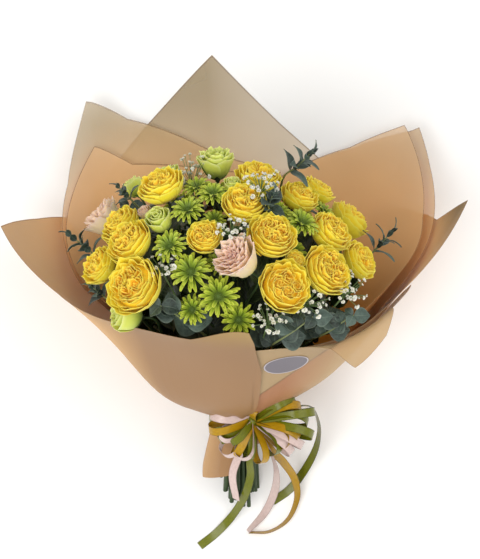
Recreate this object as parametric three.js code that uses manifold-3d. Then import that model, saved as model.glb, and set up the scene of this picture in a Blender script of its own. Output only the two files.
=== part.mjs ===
// A hand-tied bouquet of garden roses, lisianthus, spray chrysanthemums, eucalyptus and gypsophila in a wrap of
// frosted film, tied with satin ribbon and laid on its back. Millimetres, +Z up, +Y from the cut stems to the heads.
import * as THREE from "three";
import { mergeVertices } from "three/addons/utils/BufferGeometryUtils.js";
import Module from "manifold-3d";

const wasm = await Module();
wasm.setup();

const V = (x, y, z) => new THREE.Vector3(x, y, z);
const rad = THREE.MathUtils.degToRad;
const UP = V(0, 0, 1);

// ---- driving dimensions ----
const TILT = rad(35); // the bouquet's axis above the table
const AXIS = V(0, Math.cos(TILT), Math.sin(TILT)); // from the cut stems to the heads
const ACROSS = V(1, 0, 0);
const FRONT = V(0, -Math.sin(TILT), Math.cos(TILT)); // square to the axis, away from the table
const TIE = V(8, -132, 80); // middle of the tie
const DOME_CENTRE = V(-7, -5, 155); // the heads stand on this sphere
const DOME_RADIUS = 172;
const FOCUS = DOME_CENTRE.clone().addScaledVector(AXIS, -40); // the heads face away from this point
const GAP = 0.4; // left between pieces that touch

// ---- materials ----
const finish = (color, roughness) => new THREE.MeshStandardMaterial({ color, roughness, metalness: 0 });
const MATERIALS = {
  film: finish(0xcfae82, 0.45),
  label: finish(0x8f8892, 0.5),
  ribbon: finish(0x8c8f2a, 0.35),
  binding: finish(0x3f6a35, 0.6),
  stem: finish(0x4c6a2e, 0.6),
  rose: finish(0xf2c81e, 0.6),
  lisianthus_lime: finish(0xc7cf4e, 0.6),
  lisianthus_blush: finish(0xe8b892, 0.6),
  chrysanthemum: finish(0x8fba34, 0.6),
  eucalyptus: finish(0x5b7d72, 0.65),
  gypsophila: finish(0xeeeadb, 0.7),
};

// ---- solids ----
/** A closed three.js geometry as a manifold-3d solid, turned face out. */
function solid(geometry) {
  const bare = geometry.clone();
  bare.deleteAttribute("normal");
  bare.deleteAttribute("uv");
  const merged = mergeVertices(bare, 1e-4);
  const build = (triVerts) =>
    new wasm.Manifold(
      new wasm.Mesh({ numProp: 3, vertProperties: merged.attributes.position.array, triVerts }),
    );
  const faces = new Uint32Array(merged.index.array);
  const made = build(faces);
  return made.volume() < 0 ? build(faces.reverse()) : made;
}

/** Several solids joined into one, without the loose scraps that a join can leave. */
function fused(solids) {
  const bodies = wasm.Manifold.union(solids).decompose();
  return bodies.reduce((most, body) => (body.volume() > most.volume() ? body : most));
}

/** A solid as a three.js geometry. */
function geometryOf(made) {
  const mesh = made.getMesh();
  const positions = new Float32Array(mesh.numVert * 3);
  for (let i = 0; i < mesh.numVert; i++) {
    positions.set(mesh.vertProperties.subarray(i * mesh.numProp, i * mesh.numProp + 3), i * 3);
  }
  return new THREE.BufferGeometry()
    .setAttribute("position", new THREE.BufferAttribute(positions, 3))
    .setIndex(new THREE.BufferAttribute(mesh.triVerts, 1));
}

/**
 * A closed skin over rings of points. A ring of one point is a pole, and an open end gets a flat cap.
 * A ring may have a whole number of times as many points as the next.
 */
function skinned(rings) {
  const positions = rings.flat().flatMap((p) => [p.x, p.y, p.z]);
  const starts = rings.map((_, i) => rings.slice(0, i).reduce((sum, ring) => sum + ring.length, 0));
  const faces = [];
  for (let i = 0; i + 1 < rings.length; i++) {
    const [low, high] = [rings[i].length, rings[i + 1].length];
    const count = Math.max(low, high);
    for (let j = 0; j < count; j++) {
      const a = starts[i] + Math.floor((j * low) / count);
      const b = starts[i] + (Math.floor(((j + 1) * low) / count) % low);
      const d = starts[i + 1] + Math.floor((j * high) / count);
      const c = starts[i + 1] + (Math.floor(((j + 1) * high) / count) % high);
      if (a !== b) faces.push(a, b, c);
      if (c !== d) faces.push(a, c, d);
    }
  }
  const last = rings.length - 1;
  const [bottom, top] = [starts[0], starts[last]];
  for (let j = 1; j + 1 < rings[0].length; j++) faces.push(bottom, bottom + j + 1, bottom + j);
  for (let j = 1; j + 1 < rings[last].length; j++) faces.push(top, top + j, top + j + 1);
  return new THREE.BufferGeometry()
    .setAttribute("position", new THREE.Float32BufferAttribute(positions, 3))
    .setIndex(faces);
}

/** A thin solid between two grids of points that match row by row. */
function shell(outer, inner) {
  const [rows, columns] = [outer.length, outer[0].length];
  const at = (side, i, j) => (side * rows + i) * columns + j;
  const positions = [...outer.flat(), ...inner.flat()].flatMap((p) => [p.x, p.y, p.z]);
  const faces = [];
  for (let i = 0; i + 1 < rows; i++) {
    for (let j = 0; j + 1 < columns; j++) {
      for (const side of [0, 1]) {
        const [a, b] = [at(side, i, j), at(side, i, j + 1)];
        const [c, d] = [at(side, i + 1, j + 1), at(side, i + 1, j)];
        faces.push(...(side ? [a, c, b, a, d, c] : [a, b, c, a, c, d]));
      }
    }
  }
  const edge = [];
  for (let j = 0; j + 1 < columns; j++) edge.push([0, j]);
  for (let i = 0; i + 1 < rows; i++) edge.push([i, columns - 1]);
  for (let j = columns - 1; j > 0; j--) edge.push([rows - 1, j]);
  for (let i = rows - 1; i > 0; i--) edge.push([i, 0]);
  edge.forEach(([i, j], n) => {
    const [k, l] = edge[(n + 1) % edge.length];
    faces.push(at(0, i, j), at(1, i, j), at(1, k, l), at(0, i, j), at(1, k, l), at(0, k, l));
  });
  return new THREE.BufferGeometry()
    .setAttribute("position", new THREE.Float32BufferAttribute(positions, 3))
    .setIndex(faces);
}

/** A round stalk along a smooth line through the points. */
function stalk(points, radius, sides = 5, steps = points.length - 1) {
  const section = new THREE.Shape(
    Array.from({ length: sides }, (_, i) => {
      const turn = (2 * Math.PI * i) / sides;
      return new THREE.Vector2(radius * Math.cos(turn), radius * Math.sin(turn));
    }),
  );
  const path = new THREE.CatmullRomCurve3(points);
  return new THREE.ExtrudeGeometry(section, { steps, bevelEnabled: false, extrudePath: path });
}

/** Stands a shape built round +Z at a place, facing a direction. */
function stand(geometry, place, facing, turn = 0) {
  const pose = new THREE.Quaternion().setFromUnitVectors(UP, facing);
  return geometry.rotateZ(turn).applyQuaternion(pose).translate(place.x, place.y, place.z);
}

// ---- heads ----
/**
 * A head with its petals in whorls, from its base to its eye.
 * Each ring is [radius, height, lobe depth, lobe lift, lobe turn].
 */
function whorled(profile, lobes, size) {
  const samples = lobes * 3;
  const rings = profile.map(([radius, height, depth = 0, lift = 0, shift = 0]) => {
    if (radius === 0) return [V(0, 0, height * size)];
    return Array.from({ length: samples }, (_, i) => {
      const turn = (2 * Math.PI * i) / samples;
      const lobe = -Math.cos(lobes * turn - shift);
      const reach = size * (radius + depth * lobe);
      return V(reach * Math.cos(turn), reach * Math.sin(turn), size * (height + lift * lobe));
    });
  });
  return skinned(rings);
}

const HALF_TURN = Math.PI;
const ROSE_WHORLS = [
  [0, -0.66],
  [0.82, -0.2, 0.05],
  [1.0, 0.2, 0.06, -0.06],
  [0.76, 0.12],
  [0.72, 0.46, 0.07, 0.06, HALF_TURN],
  [0.5, 0.24],
  [0.4, 0.62, 0.07, 0.05],
  [0, 0.34],
];
const CUP_WHORLS = [
  [0, -0.85],
  [0.36, -0.7],
  [0.68, -0.2, 0.04],
  [0.76, 0.45, 0.1, 0.1],
  [0.5, 0.05],
  [0.42, 0.55, 0.08, 0.1, HALF_TURN],
  [0, 0.15],
];

/** A daisy head: blunt ray petals round a disc, as one closed skin. */
function daisy(petals, size) {
  const samples = petals * 3;
  const ring = (tip, valley, height, droop) =>
    Array.from({ length: samples }, (_, i) => {
      const within = i % 3; // the valley between two petals, then the two corners of a blunt tip
      const turn = (2 * Math.PI * (Math.floor(i / 3) + [0, 0.2, 0.8][within])) / petals;
      const wave = Math.floor(i / 3) % 2 ? 1 : 0.9;
      const reach = size * (within ? tip * wave : valley);
      const lift = size * (within ? height + droop * wave : height);
      return V(reach * Math.cos(turn), reach * Math.sin(turn), lift);
    });
  const collar = (radius, height) => ring(radius, radius, height, 0).filter((_, i) => i % 3 === 0);
  return skinned([
    [V(0, 0, -0.42 * size)],
    collar(0.22, -0.2),
    ring(0.97, 0.42, -0.08, 0.14),
    ring(0.97, 0.42, 0.0, 0.14),
    collar(0.26, 0.05),
    [V(0, 0, 0.16 * size)],
  ]);
}

/** Each head's kind, place across and along the bouquet, width, depth under the dome, spray, and its own lean. */
const head = (kind, x, y, width, sink, spray, lean = null) => ({ kind, x, y, width, sink, spray, lean });
const low = (row) => ({ ...row, low: true }); // on the dome's underside
const HEADS = [
  head("rose", -79, 118, 49, 2, "a"),
  head("rose", -117, 91, 45, 6, "a"),
  head("rose", -104, 64, 49, 2, "b"),
  head("rose", -149, 41, 42, 2, "b"),
  head("rose", -110, 22, 60, 2, "b"),
  head("rose", 9, 105, 48, 4, "c"),
  head("rose", 27, 139, 47, 4, "c"),
  head("rose", -31, 70, 37, 10, "d"),
  head("rose", 35, 66, 51, 3, "d"),
  head("rose", 63, 48, 22, 6, "d"),
  head("rose", 55, 21, 54, 0, "d"),
  head("rose", 98, 36, 53, 2, "e"),
  head("rose", 139, 47, 42, 2, "e"),
  head("rose", 105, 79, 47, 4, "e"),
  head("rose", 131, 94, 47, 4, "e"),
  head("rose", 71, 116, 40, 6, "c"),
  head("rose", 95, 127, 36, 4, "c"),
  head("lisianthus_lime", -20, 158, 47, 0, "f"),
  head("lisianthus_lime", -75, 143, 40, 4, "g"),
  head("lisianthus_lime", -116, 134, 32, 4, "g"),
  head("lisianthus_lime", -2, 132, 24, 2, "f"),
  head("lisianthus_lime", -82, 88, 36, 4, "h"),
  head("lisianthus_lime", -118, -4, 47, 12, "i", [-0.9, 0.1]),
  head("lisianthus_blush", -149, 96, 49, 8, "j"),
  head("lisianthus_blush", 9, 50, 53, 2, "k", [-0.8, 0.25]),
  head("lisianthus_blush", -99, 104, 21, 6, "j"),
  head("chrysanthemum", -59, 100, 40, 6, "l"),
  head("chrysanthemum", -45, 126, 36, 8, "l"),
  head("chrysanthemum", -24, 119, 36, 6, "l"),
  head("chrysanthemum", -24, 94, 30, 14, "l"),
  head("chrysanthemum", -62, 56, 42, 10, "m"),
  head("chrysanthemum", -46, 36, 47, 12, "m"),
  head("chrysanthemum", -19, 14, 47, 12, "m"),
  head("chrysanthemum", 2, -14, 40, 26, "n"),
  head("chrysanthemum", -45, -6, 36, 24, "n"),
  head("chrysanthemum", -16, 48, 32, 26, "n"),
  head("chrysanthemum", 71, 86, 40, 8, "o"),
  head("chrysanthemum", 54, 100, 34, 14, "o"),
  head("chrysanthemum", 67, 62, 34, 22, "o"),
  head("chrysanthemum", 100, 104, 32, 14, "o"),
  low(head("chrysanthemum", -64, 116, 42, 6, "p")),
  low(head("chrysanthemum", -20, 128, 44, 2, "p")),
  low(head("chrysanthemum", 30, 126, 42, 4, "p")),
  low(head("chrysanthemum", 76, 104, 40, 4, "p")),
];
/** How each kind is built, how deep its base lies, and half the room it needs: all shares of its width. */
const KINDS = {
  rose: { build: (size) => whorled(ROSE_WHORLS, 5, size), depth: 0.66, room: 0.5 },
  lisianthus_lime: { build: (size) => whorled(CUP_WHORLS, 5, size), depth: 0.85, room: 0.44 },
  lisianthus_blush: { build: (size) => whorled(CUP_WHORLS, 5, size), depth: 0.85, room: 0.44 },
  chrysanthemum: { build: (size) => daisy(10, size), depth: 0.42, room: 0.44 },
};
const OWN_STALKS = "chrysanthemum"; // these heads are the colour of their stalks, so both are one solid
const LOOSE_GAP = 0.3; // at least, between pieces that only lie near each other

/** A place on the dome over a point of the table, some depth inside it. */
function onDome({ x, y, sink, low: isLow }) {
  const flat = V(x - DOME_CENTRE.x, y - DOME_CENTRE.y, 0);
  const rise = Math.sqrt(Math.max((DOME_RADIUS - sink) ** 2 - flat.lengthSq(), 0));
  return V(x, y, DOME_CENTRE.z + (isLow ? -rise : rise));
}

/** The way a head faces: away from the focus, turned by its own lean across and along. */
function facingOf(place, lean) {
  const away = place.clone().sub(FOCUS).normalize();
  return lean ? away.add(V(lean[0], lean[1], 0)).normalize() : away;
}

/** Presses things that would touch a little apart, as they do when the stems are drawn together. */
function settle(things) {
  for (let round = 0; round < 60; round++) {
    things.forEach((a, i) =>
      things.slice(i + 1).forEach((b) => {
        const between = b.place.clone().sub(a.place);
        const short = a.room + b.room + GAP - between.length();
        if (short <= 0) return;
        between.normalize();
        a.place.addScaledVector(between, -0.5 * short);
        b.place.addScaledVector(between, 0.5 * short);
      }),
    );
  }
}

const counts = {};
const heads = HEADS.map((row) => {
  counts[row.kind] = (counts[row.kind] ?? 0) + 1;
  const name = `${row.kind}_${String(counts[row.kind]).padStart(2, "0")}`;
  return { ...row, name, place: onDome(row), room: KINDS[row.kind].room * row.width };
});
settle(heads);
heads.forEach((h, i) => {
  const kind = KINDS[h.kind];
  h.facing = facingOf(h.place, h.lean);
  h.size = h.width / 2;
  h.base = h.place.clone().addScaledVector(h.facing, -kind.depth * h.size);
  h.solid = solid(stand(kind.build(h.size), h.place, h.facing, i * 2.4));
});

// ---- stems ----
const STEM_RADIUS = 2.4;
const TWIG_RADIUS = 1.3;
const BUNDLE = { across: 22.6, front: 14.8, half: 14 }; // stem centres at the tie, and half the bound length
const COLUMN = { across: 25.4, front: 17.6 }; // the bound stems, pressed together
const FORK_SHARE = 0.66; // how far up from the tie a spray forks
const CUT_LENGTHS = [92, 112, 126, 100, 118]; // stem below the tie, in turn
const CUT_SPREAD = 1.3; // the cut ends stand wider than the stems at the tie

const beside = (along, across, front) =>
  TIE.clone().addScaledVector(AXIS, along).addScaledVector(ACROSS, across).addScaledVector(FRONT, front);
const TIE_FRAME = new THREE.Matrix4().makeBasis(ACROSS, FRONT.clone().negate(), AXIS).setPosition(TIE);

/** An upright prism round the axis at the tie, with an elliptic outline and, for a ring, an elliptic hole. */
function tied(half, outer, inner = null) {
  const outline = new THREE.Shape().absellipse(0, 0, outer.across, outer.front, 0, 2 * Math.PI, false);
  if (inner) {
    outline.holes.push(new THREE.Path().absellipse(0, 0, inner.across, inner.front, 0, 2 * Math.PI, true));
  }
  const prism = new THREE.ExtrudeGeometry(outline, { depth: 2 * half, bevelEnabled: false, curveSegments: 12 });
  return solid(prism.translate(0, 0, -half).applyMatrix4(TIE_FRAME));
}

const sprays = new Map();
for (const h of heads) sprays.set(h.spray, [...(sprays.get(h.spray) ?? []), h]);
const trunks = [...sprays].map(([name, group]) => {
  const middle = group.reduce((sum, h) => sum.add(h.base), V(0, 0, 0)).divideScalar(group.length);
  return { name, group, fork: TIE.clone().lerp(middle, group.length > 1 ? FORK_SHARE : 0.8) };
});

/** Each sprig of leaves: the way its twig runs, from where its stem meets it, and its leaves' pairs and size. */
const sprig = (pairs, length, width, ...route) => ({ pairs, length, width, route: route.map((p) => V(...p)) });
const EUCALYPTUS = [
  sprig(3, 26, 13, [50, 92, 176], [56, 142, 226], [70, 152, 240], [84, 166, 250]),
  sprig(2, 24, 19, [38, 84, 205], [34, 98, 262], [38, 108, 286], [42, 118, 292]),
  sprig(3, 22, 15, [-118, 14, 150], [-150, 46, 172], [-168, 62, 178], [-186, 76, 176]),
  sprig(2, 18, 12, [-86, 82, 160], [-112, 112, 186], [-122, 122, 190], [-130, 130, 192]),
  sprig(2, 20, 14, [-112, -12, 172], [-142, 4, 212], [-150, 11, 218], [-158, 17, 222]),
  sprig(3, 38, 34, [-32, -36, 240], [-52, -20, 284], [-66, -10, 294], [-80, -2, 298]),
  sprig(3, 38, 34, [34, -52, 236], [50, -40, 276], [68, -28, 286], [86, -14, 290]),
  sprig(3, 33, 30, [84, -42, 210], [104, -32, 244], [118, -22, 252], [132, -13, 256]),
  sprig(3, 26, 9, [122, 24, 140], [152, 52, 172], [166, 66, 180], [178, 80, 182]),
  sprig(3, 36, 30, [-60, 56, 96], [-96, 84, 92], [-112, 98, 88], [-124, 112, 84]),
];

/** Each spray of gypsophila: the middle of its florets, how wide they spread, and how many there are. */
const cloud = (x, y, z, reach, florets) => ({ crown: V(x, y, z), reach, florets });
const GYPSOPHILA = [
  cloud(-52, 150, 212, 20, 8),
  cloud(-82, 42, 302, 13, 5),
  cloud(30, 134, 282, 13, 6),
  cloud(-3, 84, 312, 12, 5),
  cloud(82, 6, 300, 14, 6),
  cloud(128, 17, 272, 13, 6),
  cloud(38, -16, 308, 12, 5),
];
const CLOUD_STEM = 62; // from where the stem meets the spray to the middle of its florets

const outward = (point) => point.clone().sub(TIE).normalize();
for (const [i, s] of EUCALYPTUS.entries()) trunks.push({ name: `sprig_${i}`, group: [], fork: s.route[0] });
for (const [i, g] of GYPSOPHILA.entries()) {
  g.root = g.crown.clone().addScaledVector(outward(g.crown), -CLOUD_STEM);
  trunks.push({ name: `cloud_${i}`, group: [], fork: g.root });
}

// The stems take their places across the tie in the order in which they fan out above it.
for (const t of trunks) {
  const offset = t.fork.clone().sub(TIE);
  const [across, front] = [offset.dot(ACROSS), offset.dot(FRONT)].map((d) => (d / offset.dot(AXIS)) * 22);
  t.place = V(across, front, 0);
  t.room = STEM_RADIUS;
}
for (let round = 0; round < 8; round++) {
  settle(trunks);
  for (const { place } of trunks) {
    const out = Math.hypot(place.x / BUNDLE.across, place.y / BUNDLE.front);
    if (out > 1) place.divideScalar(out);
  }
}

/** A stem from the tie up to its tip, and its cut end below. */
function trunkSolids({ fork, place }, index) {
  const [a, f] = [place.x, place.y];
  const towards = outward(fork);
  const top = beside(BUNDLE.half - 2, a, f);
  const reach = fork.distanceTo(top);
  const leaving = top.clone().addScaledVector(AXIS, 0.2 * reach);
  const arriving = fork.clone().addScaledVector(towards, -0.2 * reach);
  const drop = (TIE.z + CUT_SPREAD * f * Math.cos(TILT) - STEM_RADIUS - 0.3) / Math.sin(TILT);
  const length = Math.min(CUT_LENGTHS[index % CUT_LENGTHS.length], drop);
  const cut = [beside(-BUNDLE.half + 2, a, f), beside(-length, CUT_SPREAD * a, CUT_SPREAD * f)];
  return [
    solid(stalk([top, leaving, arriving, fork], STEM_RADIUS, 4, 2)),
    solid(stalk(cut, STEM_RADIUS, 4, 1)),
  ];
}

const stems = [tied(BUNDLE.half, COLUMN)];
const ownSprays = [];
trunks.forEach((trunk, index) => {
  const { group, fork } = trunk;
  stems.push(...trunkSolids(trunk, index));
  if (!group.length) return;
  const towards = outward(fork);
  const own = group[0].kind === OWN_STALKS;
  const start = fork.clone().addScaledVector(towards, GAP);
  const split = own ? start.clone().addScaledVector(towards, 8) : fork;
  const arms = group.map((h) => {
    const end = h.base.clone().addScaledVector(h.facing, own ? 0.2 * h.size : -GAP);
    const below = end.clone().addScaledVector(h.facing, -0.35 * end.distanceTo(split));
    return solid(stalk([split.clone().addScaledVector(towards, -2), below, end], TWIG_RADIUS, 4, 2));
  });
  if (own) {
    const foot = solid(stalk([start, split], STEM_RADIUS, 4, 1));
    const name = `${OWN_STALKS}_spray_${ownSprays.length + 1}`;
    ownSprays.push({ name, solid: fused([foot, ...arms, ...group.map((h) => h.solid)]) });
  } else stems.push(...arms);
});
const stemBundle = fused(stems);
const binding = tied(
  BUNDLE.half - 4,
  { across: COLUMN.across + GAP + 1.4, front: COLUMN.front + GAP + 1.4 },
  { across: COLUMN.across + GAP, front: COLUMN.front + GAP },
);

// ---- film ----
const FILM = 0.8; // drawn thicker than the real 0.06 mm
const NECK = { across: 28.2, front: 20.4, half: 16 }; // innermost layer at the tie, and half the tied length
const MIDDLE_LAYER = 3;
const OUTER_LAYER = 6;
const PITCH = { neck: 1.25, spread: 4.2 }; // layers stand further apart towards the rim
const SKIRT_LENGTH = 90; // of one unit of t below the tied length
const SKIRT_FLARE = 0.6;
const FOLD = 0.9; // beyond this t a corner may be folded back, so layers stand apart as they do here

/** The wrap's form as eight lines from the tie out to the rim: middle, rim and furthest corner of each. */
const RIBS = [
  { mid: V(-4, -110, 178), rim: V(-10, -38, 286), end: V(-12, -8, 320) },
  { mid: V(84, -92, 142), rim: V(118, -32, 246), end: V(128, -60, 256) },
  { mid: V(128, -48, 84), rim: V(218, 52, 132), end: V(266, 122, 130) },
  { mid: V(98, 12, 34), rim: V(190, 132, 14), end: V(216, 213, 22) },
  { mid: V(-4, -16, 16), rim: V(-18, 150, 0), end: V(-27, 299, 2) },
  { mid: V(-92, 16, 34), rim: V(-160, 132, 14), end: V(-178, 240, 24) },
  { mid: V(-102, -52, 84), rim: V(-204, 34, 148), end: V(-262, 92, 150) },
  { mid: V(-74, -100, 138), rim: V(-116, -14, 242), end: V(-142, 0, 282) },
];

/** A point of the wrap: an angle round the axis, 0 in front and 90 to the right, and a share t of the way to the rim. */
function wrapPoint(angle, t) {
  const turn = rad(angle);
  const flare = 1 + SKIRT_FLARE * Math.max(0, -0.5 - t);
  const neck = (along) => beside(along, NECK.across * flare * Math.sin(turn), NECK.front * flare * Math.cos(turn));
  if (t <= -0.5) return neck(-NECK.half + (t + 0.5) * SKIRT_LENGTH);
  if (t <= 0) return neck(NECK.half * (1 + 4 * t));
  const around = RIBS.map((rib, k) => {
    const own = rad(k * 45);
    const start = beside(NECK.half, NECK.across * Math.sin(own), NECK.front * Math.cos(own));
    return new THREE.CatmullRomCurve3([start, rib.mid, rib.rim, rib.end]).getPoint(Math.min(t / 1.5, 1));
  });
  const share = (((angle / 360) % 1) + 1) % 1;
  const place = new THREE.CatmullRomCurve3(around, true).getPoint(share);
  const settled = THREE.MathUtils.smoothstep(t, 0, 0.25); // the ellipse at the tie passes smoothly into the ribs
  return neck(NECK.half).lerp(place, settled);
}

/** The wrap's outward direction at a point. */
function wrapNormal(angle, t) {
  const step = 0.02;
  const round = wrapPoint(angle + 1, t).sub(wrapPoint(angle - 1, t));
  const along = wrapPoint(angle, t + step).sub(wrapPoint(angle, t - step));
  return round.cross(along).normalize();
}

/** The height of a layer's middle where the wrap lies on the table. */
const lying = (layer) => (OUTER_LAYER - layer) * PITCH.neck + FILM / 2;

/** A point in the middle of one layer of film, counted outwards from the innermost. */
function filmPoint(angle, t, layer) {
  const spread = Math.max(0, t) * PITCH.spread;
  const offset = layer * PITCH.neck + (layer - MIDDLE_LAYER) * spread;
  const place = wrapPoint(angle, t).addScaledVector(wrapNormal(angle, Math.min(t, FOLD)), offset);
  place.z = Math.max(place.z, lying(layer));
  return place;
}

/** Each sheet's layer, its upper edge and its hem below the tie, both as [angle, t] from corner to corner. */
const SHEETS = {
  film_liner: {
    layer: 0,
    edge: [[60, 0.86], [105, 1.08], [136, 1.44], [150, 1.18], [165, 1.0], [210, 1.08], [227, 1.24], [270, 0.86]],
    hem: [[60, -0.6], [270, -0.55]],
  },
  film_back_left: {
    layer: 1,
    edge: [[165, 1.02], [180, 1.09], [210, 1.3], [227, 1.5], [240, 1.18], [255, 0.98], [270, 0.86]],
    hem: [[165, -0.7], [270, -0.6]],
  },
  film_back_right: {
    layer: 2,
    edge: [[75, 0.86], [90, 0.95], [105, 1.14], [120, 1.32], [132, 1.5], [150, 1.18], [165, 1.0], [180, 0.95]],
    hem: [[75, -0.6], [180, -0.7]],
  },
  film_right: {
    layer: 3,
    edge: [[15, 0.86], [60, 0.9], [75, 0.98], [90, 1.5], [105, 1.12], [120, 1.0], [135, 0.92]],
    hem: [[15, -0.6], [135, -0.65]],
  },
  film_front_right: {
    layer: 4,
    edge: [[-45, 0.86], [0, 0.95], [30, 0.99], [38, 1.12], [45, 1.5], [56, 1.36], [66, 0.98], [90, 0.87]],
    hem: [[-45, -0.6], [90, -0.65]],
  },
  film_front_left: {
    layer: 5,
    edge: [[240, 1.02], [255, 1.18], [267, 1.46], [281, 1.0], [345, 1.02], [358, 1.2], [370, 1.5], [376, 0.86]],
    hem: [[240, -0.7], [262, -1.3], [300, -1.2], [330, -0.7], [376, -0.55]],
  },
  film_back: {
    layer: 6,
    edge: [[135, 0.86], [150, 1.0], [165, 1.24], [180, 1.5], [204, 1.24], [216, 1.1], [240, 0.86]],
    hem: [[135, -0.6], [180, -0.9], [240, -0.65]],
  },
};
const COLUMN_STEP = 15; // degrees between the film's columns
const COLUMN_ROOM = 5; // a corner stands in for a column this near to it
const ROWS = [-0.5, 0, 0.25, 0.5, 0.75]; // shared by all sheets, so that they lie alike

/** The height t of an outline at an angle. */
function heightAt(outline, angle) {
  const i = Math.max(1, outline.findIndex(([a]) => a >= angle));
  const [[a, t], [nextA, nextT]] = [outline[i - 1], outline[i]];
  return THREE.MathUtils.mapLinear(angle, a, nextA, t, nextT);
}

/** The angles of a sheet's columns: each corner of its edge, and the shared ones between. */
function columnsOf({ edge }) {
  const corners = edge.map(([angle]) => angle);
  const [first, last] = [corners[0], corners.at(-1)];
  const shared = [];
  for (let a = Math.ceil(first / COLUMN_STEP) * COLUMN_STEP; a < last; a += COLUMN_STEP) {
    if (corners.every((corner) => Math.abs(corner - a) >= COLUMN_ROOM)) shared.push(a);
  }
  return [...corners, ...shared].sort((a, b) => a - b);
}

/** The way out of a grid's surface at one of its points, longer at a crease, so that both sides keep their thickness. */
function outOf(grid, i, j) {
  const around = [];
  for (const [k, l] of [[i - 1, j - 1], [i - 1, j], [i, j - 1], [i, j]]) {
    if (!grid[k + 1]?.[l + 1] || !grid[k]?.[l]) continue;
    const rising = grid[k + 1][l + 1].clone().sub(grid[k][l]);
    const falling = grid[k][l + 1].clone().sub(grid[k + 1][l]);
    around.push(rising.cross(falling).normalize());
  }
  const out = around.reduce((sum, normal) => sum.add(normal), V(0, 0, 0)).normalize();
  const slant = Math.min(...around.map((normal) => normal.dot(out)));
  return out.multiplyScalar(1 / Math.max(slant, 0.4));
}

function film(sheet) {
  const { layer, edge, hem } = sheet;
  const places = columnsOf(sheet).map((angle) => {
    const top = heightAt(edge, angle);
    return [heightAt(hem, angle), ...ROWS, (ROWS.at(-1) + top) / 2, top].map((t) => [angle, t]);
  });
  const middle = places.map((column) => column.map(([angle, t]) => filmPoint(angle, t, layer)));
  const out = places.map((column, i) =>
    column.map(([angle, t], j) => {
      if (middle[i][j].z <= lying(layer)) return UP.clone().negate();
      return t < FOLD ? wrapNormal(angle, t) : outOf(middle, i, j);
    }),
  );
  const face = (off) => middle.map((column, i) => column.map((p, j) => p.clone().addScaledVector(out[i][j], off)));
  return solid(shell(face(FILM / 2), face(-FILM / 2)));
}

const films = Object.entries(SHEETS).map(([name, sheet]) => ({ name, solid: film(sheet) }));

// ---- leaves and florets, each turned until it is clear of what stands there ----
const taken = [...heads.filter((h) => h.kind !== OWN_STALKS), ...ownSprays].map((h) => h.solid);
taken.push(stemBundle, ...films.map((f) => f.solid));

const isClear = (made, others) => others.every((other) => made.minGap(other, LOOSE_GAP) >= LOOSE_GAP);

/** The first of several ways to place a thing that is clear of everything placed before it. */
function firstClear(ways, others) {
  for (const way of ways) {
    const made = solid(way());
    if (isClear(made, others)) return made;
  }
  return null;
}

const LEAF_THICK = 0.8;
/** A leaf's rim from its foot, as shares of its length, width and length. */
const LEAF_OUTLINE = [
  [0, 0, 0],
  [0.25, 0.42, 0.08],
  [0.62, 0.46, 0.06],
  [1, 0, -0.06],
  [0.62, -0.46, 0.06],
  [0.25, -0.42, 0.08],
];

/** A thin leaf, folded a little along its middle: its foot, the way it points, the way it faces, and its size. */
function leaf(foot, pointing, facing, length, width) {
  const across = facing.clone().cross(pointing).normalize();
  const up = pointing.clone().cross(across).normalize();
  const face = (thick) =>
    LEAF_OUTLINE.map(([along, side, lift]) => {
      const place = foot.clone().addScaledVector(pointing, along * length).addScaledVector(across, side * width);
      return place.addScaledVector(up, lift * length + thick);
    });
  return skinned([face(-LEAF_THICK / 2), face(LEAF_THICK / 2)]);
}

const LEAF_TURNS = [0, 25, -25, 50, -50, 75, -75, 100, -100].map(rad);
const SIDE_TURNS = [0, 45, -45, 90, -90, 135, -135, 180].map(rad);
const BENDS = [0, 8, 16, 24]; // how far a twig is bent aside
const LEAF_OPENING = 1.15; // between a leaf and its twig

/** A twig of eucalyptus: leaves in opposite pairs, each pair a quarter turn from the last, and one at the tip. */
function eucalyptus({ pairs, length, width, route }) {
  const [start, second, ...rest] = route;
  const foot = start.clone().addScaledVector(outward(start), 1.5 * GAP);
  const bends = SIDE_TURNS.flatMap((turn) => BENDS.map((bend) => V(bend * Math.cos(turn), bend * Math.sin(turn), 0)));
  const routes = bends.map((bend) => [foot, second.clone().add(bend), ...rest]);
  const twigOn = (points) => () => stalk(points, TWIG_RADIUS, 3, 4);
  const chosen = routes.find((points) => isClear(solid(twigOn(points)()), taken)) ?? routes[0];
  const line = new THREE.CatmullRomCurve3(chosen);
  const parts = [solid(twigOn(chosen)())];
  const grow = (share, spin, open, scale) => {
    const place = line.getPointAt(share);
    const along = line.getTangentAt(Math.min(share, 0.99));
    const side = UP.clone().cross(along).normalize();
    const ways = LEAF_TURNS.map((turn) => () => {
      const reach = side.clone().applyAxisAngle(along, spin + turn);
      const pointing = along.clone().multiplyScalar(Math.cos(open)).addScaledVector(reach, Math.sin(open));
      const facing = along.clone().multiplyScalar(Math.sin(open)).addScaledVector(reach, -Math.cos(open));
      return leaf(place, pointing, facing, length * scale, width * scale);
    });
    const made = firstClear(ways, taken);
    if (made) parts.push(made);
  };
  for (let i = 0; i < pairs; i++) {
    const share = 0.5 + (0.44 * i) / pairs;
    const spin = i % 2 ? Math.PI / 2.5 : 0;
    grow(share, spin, LEAF_OPENING, 1 - 0.12 * i);
    grow(share, spin + Math.PI, LEAF_OPENING, 1 - 0.12 * i);
  }
  grow(1, 0, 0.25, 0.75);
  return fused(parts);
}

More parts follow.
